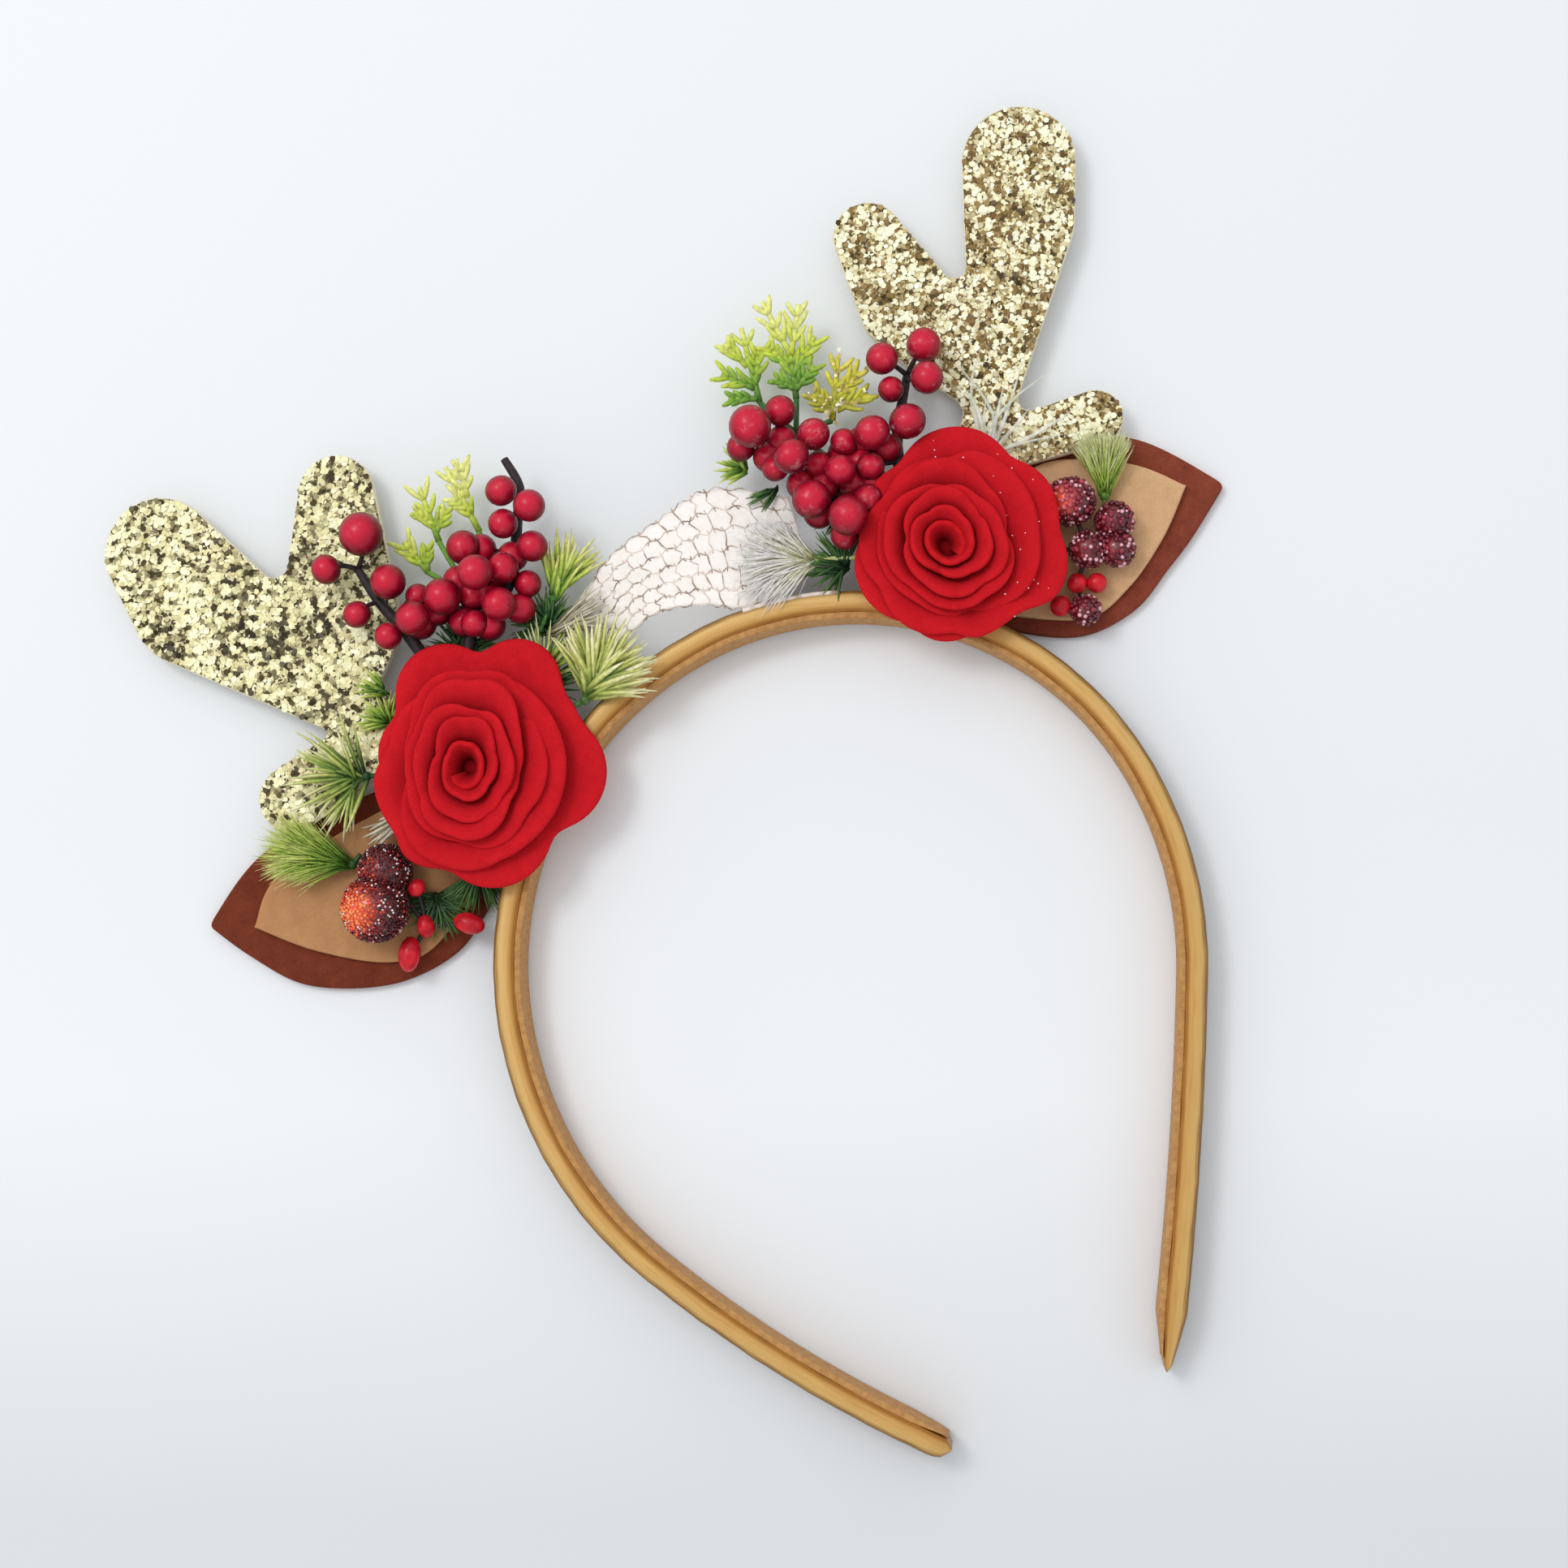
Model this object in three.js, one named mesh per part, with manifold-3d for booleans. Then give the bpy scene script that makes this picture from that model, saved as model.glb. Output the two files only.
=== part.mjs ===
// A reindeer headband for Christmas, lying on its back edge with its front turned up: a slim
// wrapped hoop that carries glitter antlers, felt ears, two rolled felt roses, berry picks,
// sprigs, needle tufts and a scrap of veil net.
// Millimetres, +Z up. The origin is the middle of the hoop's crown, on the edge that it lies on.
// +Y runs from the hoop's ends towards the antlers, and +X to the right seen from above.
import * as THREE from 'three';
import { mergeVertices } from 'three/addons/utils/BufferGeometryUtils.js';
import Module from 'manifold-3d';

const wasm = await Module();
wasm.setup();

// A table's rows as objects, with its columns named once.
const table = (columns, rows) =>
  rows.map((row) => Object.fromEntries(columns.map((name, i) => [name, row[i]])));

// Clearance between pieces that touch on the real headband.
const SEAT_GAP = 0.3;

// Hoop: each half is a run of arcs from the crown to its end, closing in towards the ends.
// It lies a little turned about its crown.
const HOOP_ARCS = table(['side', 'radius', 'sweep'], [
  ['left', 63.6, 73.5],
  ['left', 68, 41],
  ['left', 226, 15.2],
  ['right', 57.6, 84.5],
  ['right', 66.8, 35],
  ['right', 694, 5.6],
]);
const HOOP_TURN = 3.1;
const BAND = {
  thick: 3.2,
  height: 9,
  chamfer: 0.9,
  stepLength: 10.4,
  tipLength: 6,
  tipThick: 0.5,
  tipHeight: 0.75,
};
const LINING = { thick: 0.8, height: 7, rise: 1, endInset: 5 };

// Felt and glitter sheet, stacked flat from the lying edge upwards.
const FELT = { ear: 2, earInner: 1.2, antler: 2 };
const EAR_Z = 0;
const EAR_INNER_Z = EAR_Z + FELT.ear + SEAT_GAP;
const ANTLER_Z = EAR_INNER_Z + FELT.earInner + SEAT_GAP;
const ROSE_Z = ANTLER_Z + FELT.antler + SEAT_GAP;

// Antlers: the outline runs round discs in turn, anticlockwise from the hoop. A disc with a
// negative radius rounds an inner corner from outside.
const ANTLER_DISCS = table(['side', 'x', 'y', 'radius'], [
  ['left', -42.9, -10.3, 5],
  ['left', -52.5, 17, -3],
  ['left', -54, 29, 7],
  ['left', -49, 53.5, 7],
  ['left', -64.5, 46.5, -2.5],
  ['left', -83, 57.5, 10.2],
  ['left', -81.5, 46, 11],
  ['left', -69, 14.5, -1],
  ['left', -78.5, 6, 6],
  ['left', -60, -1, -4.5],
  ['right', 44.7, -8.2, 5],
  ['right', 60, 1, -4.5],
  ['right', 80, 7, 5],
  ['right', 71, 15, -2],
  ['right', 83, 45, 9.8],
  ['right', 87.5, 55, 10.2],
  ['right', 69, 42.5, -2],
  ['right', 57.5, 54.5, 6.2],
  ['right', 58, 40, 8],
  ['right', 61, 30, 6.5],
  ['right', 56.5, 19, -3],
]);
const ANTLER_ARC = 3;

// Ears: a rounded upper edge from the hoop out to a pointed tip, and a fuller lower edge back.
const EAR_EDGE = table(['node', 'edge', 'x', 'y'], [
  ['ear_left', 'upper', -39.4, -13.9],
  ['ear_left', 'upper', -50, -2],
  ['ear_left', 'upper', -66, 1.5],
  ['ear_left', 'upper', -88, 0],
  ['ear_left', 'upper', -102.5, -8],
  ['ear_left', 'lower', -97.5, -16.5],
  ['ear_left', 'lower', -90, -25.5],
  ['ear_left', 'lower', -76.5, -31.5],
  ['ear_left', 'lower', -64.3, -31.6],
  ['ear_left', 'lower', -56.1, -27.5],
  ['ear_left', 'lower', -44.7, -18.7],
  ['ear_left_inner', 'upper', -46, -10],
  ['ear_left_inner', 'upper', -55, -4],
  ['ear_left_inner', 'upper', -66, -2.5],
  ['ear_left_inner', 'upper', -86.5, -5],
  ['ear_left_inner', 'upper', -94.5, -12],
  ['ear_left_inner', 'lower', -86, -20.5],
  ['ear_left_inner', 'lower', -74.5, -28],
  ['ear_left_inner', 'lower', -65, -28.5],
  ['ear_left_inner', 'lower', -51, -19],
  ['ear_right', 'upper', 41.5, -11.5],
  ['ear_right', 'upper', 54, 0],
  ['ear_right', 'upper', 70.2, 6],
  ['ear_right', 'upper', 84.9, 1.6],
  ['ear_right', 'upper', 96, -13],
  ['ear_right', 'lower', 87, -19],
  ['ear_right', 'lower', 80.5, -22.5],
  ['ear_right', 'lower', 72.5, -26.5],
  ['ear_right', 'lower', 62.5, -27],
  ['ear_right', 'lower', 53.5, -22.5],
  ['ear_right', 'lower', 47, -16.4],
  ['ear_right_inner', 'upper', 46, -10],
  ['ear_right_inner', 'upper', 56, -1.5],
  ['ear_right_inner', 'upper', 68, 4],
  ['ear_right_inner', 'upper', 82, -2.5],
  ['ear_right_inner', 'upper', 89.5, -10.5],
  ['ear_right_inner', 'lower', 82, -17.2],
  ['ear_right_inner', 'lower', 72.5, -22.8],
  ['ear_right_inner', 'lower', 63.5, -24.5],
  ['ear_right_inner', 'lower', 51, -18],
]);
const EAR_STEPS = 3;

// Roses: a scalloped strip of felt rolled into a spiral that flares outwards, on a round base.
// The outer edge follows petals, each a disc that reaches a distance from the spiral's middle.
const ROSE = {
  wall: 1.2,
  turns: 5,
  innerSteps: 8,
  outerSteps: 16,
  outerTurns: 2,
  baseRadius: 9.8,
  baseSides: 12,
  flangeRadius: 11.4,
  flangeThick: 0.7,
  sunk: 0.4,
  heartRadius: 1.6,
  footRadius: 10.3,
  heartTop: 17.5,
  crestTop: 20,
  rimTop: 13.5,
  spreadPower: 0.8,
  rolledSpread: 0.72,
  core: 12,
  petalDisc: 10.5,
};
const ROSES = table(['side', 'x', 'y', 'start', 'unfurl'], [
  ['left', -45.6, -4, 8, 0.07],
  ['right', 46.2, -3.8, 108, 0.17],
]);
const PETALS = table(['side', 'angle', 'reach'], [
  ['left', 38, 25.2],
  ['left', 84, 23.2],
  ['left', 146, 17.5],
  ['left', 206, 19],
  ['left', 270, 21.5],
  ['left', 336, 23.6],
  ['right', 112, 17],
  ['right', 56, 21.5],
  ['right', 4, 21],
  ['right', 320, 21.6],
  ['right', 260, 17.6],
  ['right', 184, 16.8],
]);

// Berries: satin-red balls, each held by a twig from the nearest place on the branched stem.
const BERRIES = table(['side', 'x', 'y', 'z', 'radius'], [
  ['left', -46.5, 42.3, 13.5, 3.9],
  ['left', -55, 39.6, 12, 2.7],
  ['left', -45.6, 32.5, 13, 3.2],
  ['left', -53.3, 30, 11.2, 2.5],
  ['left', -44, 24.3, 14.5, 3.1],
  ['left', -49.7, 24, 11.5, 2.5],
  ['left', -20.6, 38.6, 13.5, 2.8],
  ['left', -17, 33.6, 15, 2.9],
  ['left', -22.8, 33.4, 12.2, 2.7],
  ['left', -19.7, 27.5, 12, 2.8],
  ['left', -31, 32.6, 12, 3.1],
  ['left', -30.3, 26.4, 17, 3.2],
  ['left', -37.7, 25.7, 14, 3.4],
  ['left', -25.9, 26, 13, 2.8],
  ['left', -23.4, 22.2, 10, 2.5],
  ['left', -29, 20, 14.5, 3.1],
  ['left', -34.7, 19.4, 11.7, 2.5],
  ['left', -42.2, 28.6, 10, 2.3],
  ['right', 50, 31.2, 12.5, 2.8],
  ['right', 57.7, 30.5, 11.5, 3],
  ['right', 55.5, 24.2, 14.5, 2.9],
  ['right', 49.2, 25.8, 11.3, 2.3],
  ['right', 24, 29.5, 15.5, 3.8],
  ['right', 30, 30.6, 12, 2.7],
  ['right', 33.5, 24, 13.2, 2.9],
  ['right', 21, 28.1, 10.2, 2.5],
  ['right', 28.3, 21.3, 16.6, 3.1],
  ['right', 25, 21.7, 11.8, 2.4],
  ['right', 42.8, 19.3, 15.2, 3.1],
  ['right', 49.2, 18.6, 14.6, 3.2],
  ['right', 37.8, 20.7, 11.5, 2.5],
  ['right', 35, 15.8, 14.5, 2.8],
  ['right', 28.4, 13.4, 14, 3.4],
  ['right', 32.9, 7.6, 16.2, 3.5],
  ['right', 40.2, 14.7, 12, 2.5],
  ['right', 37.4, 9.6, 12.2, 2.7],
  ['right', 31, 5.8, 10.6, 2.5],
]);
const BERRY_SIDES = 10;
const BERRY_RINGS = 5;

// Berry stems: wire branches from the rose outwards, each through a few knots.
const STEM_KNOTS = table(['side', 'branch', 'x', 'y', 'z'], [
  ['left', 'outer', -43.5, 6.8, 8.4],
  ['left', 'outer', -46.8, 23, 8.4],
  ['left', 'outer', -49.2, 31, 8.6],
  ['left', 'outer', -50.3, 38, 9],
  ['left', 'inner', -43.5, 6.8, 8.4],
  ['left', 'inner', -35.5, 20, 8.2],
  ['left', 'inner', -26.5, 24, 8.4],
  ['left', 'inner', -20.5, 34, 8.6],
  ['left', 'inner', -17.5, 43, 9.2],
  ['right', 'outer', 43.8, 6.8, 8.4],
  ['right', 'outer', 46.2, 17, 8.6],
  ['right', 'outer', 53, 27.5, 8.8],
  ['right', 'inner', 43.8, 6.8, 8.4],
  ['right', 'inner', 34.5, 11.5, 8.4],
  ['right', 'inner', 29.5, 22.5, 8.4],
  ['right', 'inner', 25.5, 28, 8.6],
]);
const STEM = { radius: 0.6, sides: 4, stepsPerKnot: 2, twigRadius: 0.45, twigSides: 3 };

// Sprigs: a wire with forks, each fork a flat shoot with paired soft leaves on both sides.
const SPRIG_WIRES = table(['node', 'x', 'y', 'z', 'forkX', 'forkY', 'forkZ'], [
  ['cedar_left', -41.5, 5.8, 6.9, -34, 25, 6.9],
  ['cedar_left_small', -37.4, 2.7, 7, -22, 18, 7],
  ['cedar_right', 41.8, 5.8, 6.9, 31, 27, 6.9],
]);
const SHOOTS = table(['node', 'heading', 'length', 'rise', 'pairs'], [
  ['cedar_left', 74, 22, 2, 3],
  ['cedar_left', 97, 19, 0.6, 3],
  ['cedar_left', 122, 14, 0, 2],
  ['cedar_left_small', 40, 14, 3, 3],
  ['cedar_left_small', 68, 8, 0, 2],
  ['cedar_right', 98, 21, 1, 3],
  ['cedar_right', 70, 23, 3, 3],
  ['cedar_right', 30, 17, 1, 3],
]);
const SHOOT = { thick: 1.2, stem: 0.6, leafLength: 5.4, leafWidth: 1.6, leafSplay: 36, wire: 0.6 };

// Needle tufts: needles that fan out from a bound head on a short wire, root first.
const TUFTS = table(
  ['node', 'rootX', 'rootY', 'x', 'y', 'z', 'heading', 'fan', 'count', 'length', 'rise'],
  [
    ['needle_spray_left', -55.5, 0, -64, 3.5, 7.6, 158, 150, 7, 12, 3],
    ['brush_tuft_left', -71, -8.5, -73, -9.5, 5.6, 142, 66, 9, 14, 3],
    ['pale_tuft_left', -35.5, -1.8, -22, 0, 10.8, 38, 140, 10, 13, 2],
    ['brush_tuft_right', 74.5, -8.5, 75.5, -6.5, 5.6, 68, 62, 8, 10, 3],
    ['pale_brush_right', 36.4, 0, 25, 5, 8, 164, 76, 9, 11, 3],
  ],
);
const TUFT = {
  head: 1.5,
  headSides: 6,
  headRings: 4,
  needle: 0.65,
  needleSides: 3,
  layers: 3,
  shortest: 0.8,
  wire: 0.5,
};

// Sugared berries and little buds, fused by their wire stems into one pick on each ear. Each
// hangs from the one named, and the first from the rose.
const PICK_FRUIT = table(['side', 'fruit', 'from', 'x', 'y', 'z', 'across', 'along', 'heading'], [
  ['left', 'small', 'rose', -67.5, -13.5, 8.6, 4.6, 4.6, 0],
  ['left', 'large', 'small', -71.5, -19, 9.8, 5.8, 5.8, 0],
  ['left', 'bud1', 'small', -65.3, -25.2, 6.2, 1.5, 2, 80],
  ['left', 'bud2', 'bud1', -70, -28.5, 6, 1.6, 2.8, 60],
  ['left', 'bud3', 'bud1', -58, -28, 6, 1.5, 2.6, 140],
  ['right', 'first', 'rose', 68.6, -14.2, 8, 3, 3, 0],
  ['right', 'large', 'first', 69.4, -5.2, 8.2, 4, 4, 0],
  ['right', 'low', 'first', 73.3, -16.2, 7.2, 2.9, 2.9, 0],
  ['right', 'outer', 'low', 75, -11.5, 7.2, 3.1, 3.1, 0],
  ['right', 'bud1', 'first', 64.5, -18.6, 6.6, 1.8, 1.8, 0],
  ['right', 'bud2', 'bud1', 67.6, -20, 6.4, 1.8, 1.8, 0],
  ['right', 'dark', 'bud1', 63.8, -23.5, 6.6, 2.4, 2.4, 0],
  ['right', 'bud3', 'dark', 60.2, -21, 6.4, 1.9, 1.9, 0],
]);
const PICK_ROOT = table(['side', 'x', 'y', 'z'], [
  ['left', -55.5, -9, 7.4],
  ['right', 56.2, -8, 7.4],
]);
const PICK = { sides: 10, rings: 5, budSize: 2.5, budSides: 6, budRings: 4, wire: 0.6, wireSides: 3 };

// Veil net: a scrap of coarse net between the roses, open in squares and gathered at its right.
const NET = { columns: 9, rows: 4, thick: 0.8, strand: 0.12, z: 6, bow: 1.6, sag: 0.3 };
const NET_EDGE = table(['edge', 'x', 'y'], [
  ['lower', -15.5, 4.5],
  ['lower', -6, 8],
  ['lower', 3, 6],
  ['lower', 11, 1.8],
  ['lower', 23, 3.4],
  ['upper', -19, 13],
  ['upper', -10, 20],
  ['upper', 2, 23],
  ['upper', 13, 24.2],
  ['upper', 25, 17],
]);

const rad = THREE.MathUtils.degToRad;
const { lerp, clamp, smoothstep } = THREE.MathUtils;
const vec = (x, y, z) => new THREE.Vector3(x, y, z);
const rowsOf = (rows, column, value) => rows.filter((row) => row[column] === value);

// Closed mesh with its doubled vertices merged, as a solid that can be joined and cut.
function solidOf(geometry) {
  const bare = geometry.clone();
  bare.deleteAttribute('normal');
  bare.deleteAttribute('uv');
  const merged = mergeVertices(bare, 1e-4);
  return new wasm.Manifold(new wasm.Mesh({
    numProp: 3,
    vertProperties: new Float32Array(merged.attributes.position.array),
    triVerts: new Uint32Array(merged.index.array),
  }));
}

// Several closed meshes that run into each other, fused into one.
function fuse(geometries) {
  const whole = geometries.map(solidOf).reduce((sum, next) => sum.add(next));
  const mesh = whole.getMesh();
  const geometry = new THREE.BufferGeometry();
  geometry.setAttribute('position', new THREE.BufferAttribute(mesh.vertProperties, 3));
  geometry.setIndex(new THREE.BufferAttribute(mesh.triVerts, 1));
  return geometry;
}

// Closed skin over a run of rings of points, each ring as long as the next, with flat ends.
// The rings turn anticlockwise seen from the far end.
function loft(rings) {
  const around = rings[0].length;
  const index = [];
  for (let i = 0; i < rings.length - 1; i += 1) {
    for (let j = 0; j < around; j += 1) {
      const a = i * around + j;
      const b = i * around + ((j + 1) % around);
      index.push(a, b, b + around, a, b + around, a + around);
    }
  }
  const last = (rings.length - 1) * around;
  for (let j = 1; j < around - 1; j += 1) {
    index.push(0, j + 1, j);
    index.push(last, last + j, last + j + 1);
  }
  const geometry = new THREE.BufferGeometry().setFromPoints(rings.flat());
  geometry.setIndex(index);
  return geometry;
}

// Flat sheet of an outline, with its underside at a height.
function sheet(shape, thick, z, curveSegments) {
  const options = { depth: thick, bevelEnabled: false, curveSegments };
  return new THREE.ExtrudeGeometry(shape, options).translate(0, 0, z);
}

// Straight round rod between two points, which may taper to a point.
function rod(from, to, startRadius, endRadius, sides) {
  const along = to.clone().sub(from);
  const turn = new THREE.Quaternion().setFromUnitVectors(vec(0, 1, 0), along.clone().normalize());
  const middle = from.clone().add(to).multiplyScalar(0.5);
  return new THREE.CylinderGeometry(endRadius, startRadius, along.length(), sides)
    .applyQuaternion(turn)
    .translate(middle.x, middle.y, middle.z);
}

// Point of the hoop's middle line at a length from the crown, negative on the left half, and
// its way outwards.
const arcLength = ({ radius, sweep }) => radius * rad(sweep);
const halfLength = (side) => rowsOf(HOOP_ARCS, 'side', side).map(arcLength).reduce((a, b) => a + b);
const HOOP_START = -halfLength('left');
const HOOP_END = halfLength('right');
function hoopAt(length) {
  const way = length < 0 ? -1 : 1;
  const point = new THREE.Vector2();
  const outwards = (heading) => new THREE.Vector2(Math.sin(heading), Math.cos(heading));
  let heading = 0;
  let left = Math.abs(length);
  for (const arc of rowsOf(HOOP_ARCS, 'side', length < 0 ? 'left' : 'right')) {
    const run = Math.min(left, arcLength(arc));
    const next = heading + run / arc.radius;
    point.addScaledVector(outwards(next).sub(outwards(heading)), arc.radius);
    heading = next;
    left -= run;
  }
  const out = outwards(heading);
  const mirror = new THREE.Vector2(way, 1);
  const crown = new THREE.Vector2();
  return {
    point: point.multiply(mirror).rotateAround(crown, rad(HOOP_TURN)),
    out: out.multiply(mirror).rotateAround(crown, rad(HOOP_TURN)),
  };
}

// Ring of a hoop section: each corner is a distance outwards and a height.
function hoopRing(length, corners) {
  const { point, out } = hoopAt(length);
  return corners.map(([away, z]) => vec(point.x + out.x * away, point.y + out.y * away, z));
}

// Evenly spaced lengths along the hoop that stop short of both ends by an inset.
function hoopLengths(inset) {
  const [start, end] = [HOOP_START + inset, HOOP_END - inset];
  const steps = Math.ceil((end - start) / BAND.stepLength);
  return Array.from({ length: steps + 1 }, (_, i) => lerp(start, end, i / steps));
}

function bandGeometry() {
  const lengths = [HOOP_START, ...hoopLengths(BAND.tipLength), HOOP_END];
  return loft(lengths.map((length) => {
    const toEnd = Math.min(length - HOOP_START, HOOP_END - length);
    const full = clamp(toEnd / BAND.tipLength, 0, 1);
    const half = (BAND.thick / 2) * lerp(BAND.tipThick, 1, full);
    const top = BAND.height * lerp(BAND.tipHeight, 1, full);
    const cut = BAND.chamfer * lerp(BAND.tipThick, 1, full);
    return hoopRing(length, [
      [half - cut, 0],
      [half, cut],
      [half, top - cut],
      [half - cut, top],
      [cut - half, top],
      [-half, top - cut],
      [-half, cut],
      [cut - half, 0],
    ]);
  }));
}

function liningGeometry() {
  const outer = -BAND.thick / 2 - SEAT_GAP;
  const inner = outer - LINING.thick;
  const top = LINING.rise + LINING.height;
  const corners = [[outer, LINING.rise], [outer, top], [inner, top], [inner, LINING.rise]];
  return loft(hoopLengths(LINING.endInset).map((length) => hoopRing(length, corners)));
}

// Outline that runs round discs in turn like a belt, with straight stretches between them.
function beltShape(discs) {
  const heading = (near, far) => {
    const span = Math.hypot(far.x - near.x, far.y - near.y);
    const along = Math.atan2(far.y - near.y, far.x - near.x);
    return along + Math.asin((near.radius - far.radius) / span);
  };
  const shape = new THREE.Shape();
  discs.forEach((disc, i) => {
    const arrive = heading(discs.at(i - 1), disc);
    const leave = heading(disc, discs[(i + 1) % discs.length]);
    const side = (-Math.sign(disc.radius) * Math.PI) / 2;
    const inward = disc.radius < 0;
    shape.absarc(disc.x, disc.y, Math.abs(disc.radius), arrive + side, leave + side, inward);
  });
  return shape;
}

function antlerGeometry(side) {
  const discs = rowsOf(ANTLER_DISCS, 'side', side);
  return sheet(beltShape(discs), FELT.antler, ANTLER_Z, ANTLER_ARC);
}

function earGeometry(node, thick, z) {
  const points = (edge) => rowsOf(rowsOf(EAR_EDGE, 'node', node), 'edge', edge)
    .map(({ x, y }) => new THREE.Vector2(x, y));
  const upper = points('upper');
  const lower = [upper.at(-1), ...points('lower')];
  const smooth = (run) => new THREE.SplineCurve(run).getPoints(EAR_STEPS * (run.length - 1));
  const outline = [...smooth(upper), ...smooth(lower).slice(1)];
  return sheet(new THREE.Shape(outline), thick, z, 1);
}

// Distance from a rose's middle to its rim in one direction: the farthest petal disc there.
function rimReach(petals, angle) {
  const hits = petals.map((petal) => {
    const away = petal.reach - ROSE.petalDisc;
    const off = angle - rad(petal.angle);
    const inside = ROSE.petalDisc ** 2 - (away * Math.sin(off)) ** 2;
    return inside < 0 ? 0 : away * Math.cos(off) + Math.sqrt(inside);
  });
  return Math.max(ROSE.core, ...hits);
}

// Shares of the strip's length at which the rolled strip gets a ring, closer on its outer turns.
function roseShares() {
  const innerTurns = ROSE.turns - ROSE.outerTurns;
  const innerCount = innerTurns * ROSE.innerSteps;
  const outerCount = ROSE.outerTurns * ROSE.outerSteps;
  const inner = Array.from({ length: innerCount }, (_, i) => i / ROSE.innerSteps);
  const outer = Array.from({ length: outerCount + 1 }, (_, i) => innerTurns + i / ROSE.outerSteps);
  return [...inner, ...outer].map((turn) => turn / ROSE.turns);
}

// How far the strip's upper edge has spread from the heart to the rim. The last turn unfurls from
// the rolled ones and is the rim.
function roseSpread(share, unfurl) {
  const turn = share * ROSE.turns;
  const lastTurn = ROSE.turns - 1;
  const rolled = ROSE.rolledSpread * (Math.min(turn, lastTurn) / lastTurn) ** ROSE.spreadPower;
  return lerp(rolled, 1, smoothstep(turn - lastTurn, 0, unfurl));
}

function roseGeometry({ side, x, y, start, unfurl }) {
  const petals = rowsOf(PETALS, 'side', side);
  const flangeZ = BAND.height + SEAT_GAP;
  const floorZ = flangeZ + ROSE.flangeThick;
  const rings = roseShares().map((share) => {
    const angle = rad(start) + 2 * Math.PI * ROSE.turns * share;
    const foot = lerp(ROSE.heartRadius, ROSE.footRadius, share);
    const spread = roseSpread(share, unfurl);
    const crest = lerp(ROSE.heartRadius, rimReach(petals, angle), spread);
    const rise = lerp(ROSE.heartTop, ROSE.crestTop, smoothstep(share, 0, 0.35));
    const top = lerp(rise, ROSE.rimTop, smoothstep(share, 0.35, 1));
    const bottom = floorZ - ROSE.sunk;
    const lean = new THREE.Vector2(crest - foot, top - bottom).normalize();
    const half = ROSE.wall / 2;
    const at = (radius, z, sign) => vec(
      x + (radius + sign * half * lean.y) * Math.cos(angle),
      y + (radius + sign * half * lean.y) * Math.sin(angle),
      z - sign * half * lean.x,
    );
    const onFloor = (sign) => vec(
      x + (foot + sign * half) * Math.cos(angle),
      y + (foot + sign * half) * Math.sin(angle),
      bottom,
    );
    return [onFloor(-1), at(crest, top, -1), at(crest, top, 1), onFloor(1)];
  });
  const profile = [
    [0, ROSE_Z],
    [ROSE.baseRadius, ROSE_Z],
    [ROSE.baseRadius, flangeZ],
    [ROSE.flangeRadius, flangeZ],
    [ROSE.flangeRadius, floorZ],
    [0, floorZ],
  ].map(([radius, z]) => new THREE.Vector2(radius, z));
  const base = new THREE.LatheGeometry(profile, ROSE.baseSides).rotateX(Math.PI / 2).translate(x, y, 0);
  return fuse([loft(rings), base]);
}

function berryGeometry({ x, y, z, radius }) {
  return new THREE.SphereGeometry(radius, BERRY_SIDES, BERRY_RINGS)
    .rotateX(Math.PI / 2)
    .translate(x, y, z);
}

// Wire of one branch, and the straight stretches of its middle line.
function stemBranch(side, branch) {
  const knots = rowsOf(rowsOf(STEM_KNOTS, 'side', side), 'branch', branch);
  const path = new THREE.CatmullRomCurve3(knots.map(({ x, y, z }) => vec(x, y, z)));
  const steps = STEM.stepsPerKnot * (knots.length - 1);
  const round = Array.from({ length: STEM.sides }, (_, i) => {
    const turn = (2 * Math.PI * i) / STEM.sides;
    return new THREE.Vector2(Math.cos(turn), Math.sin(turn)).multiplyScalar(STEM.radius);
  });
  const options = { steps, extrudePath: path, bevelEnabled: false };
  const wire = new THREE.ExtrudeGeometry(new THREE.Shape(round), options);
  const points = path.getSpacedPoints(steps);
  const lines = points.slice(1).map((point, i) => new THREE.Line3(points[i], point));
  return { wire, lines };
}

function berryStemsGeometry(side) {
  const branches = ['outer', 'inner'].map((branch) => stemBranch(side, branch));
  const lines = branches.flatMap((branch) => branch.lines);
  const twigs = rowsOf(BERRIES, 'side', side).map(({ x, y, z, radius }) => {
    const berry = vec(x, y, z);
    const feet = lines.map((line) => line.closestPointToPoint(berry, true, vec(0, 0, 0)));
    const foot = feet.reduce((a, b) => (a.distanceTo(berry) < b.distanceTo(berry) ? a : b));
    const stop = berry.distanceTo(foot) - radius - SEAT_GAP;
    const end = foot.clone().add(berry.sub(foot).setLength(stop));
    return rod(foot, end, STEM.twigRadius, STEM.twigRadius, STEM.twigSides);
  });
  return fuse([...branches.map(({ wire }) => wire), ...twigs]);
}

// Flat shoot along +X: its outline goes out and back round each leaf of its right side, round
// the tip, and then the same way down its left side.
function shootShape(length, pairs) {
  const right = Array.from({ length: pairs }, (_, i) => {
    const foot = (length * (i + 0.8)) / (pairs + 0.8);
    const splay = rad(SHOOT.leafSplay);
    const reach = SHOOT.leafLength * lerp(1, 0.65, i / pairs);
    return [
      [foot, -SHOOT.stem],
      [foot + reach * Math.cos(splay), -SHOOT.stem - reach * Math.sin(splay)],
      [foot + SHOOT.leafWidth, -SHOOT.stem],
    ];
  }).flat();
  const left = right.map(([x, y]) => [x, -y]).reverse();
  const root = [[0, SHOOT.stem], [0, -SHOOT.stem]];
  const outline = [...root, ...right, [length, 0], ...left];
  return new THREE.Shape(outline.map(([x, y]) => new THREE.Vector2(x, y)));
}

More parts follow.
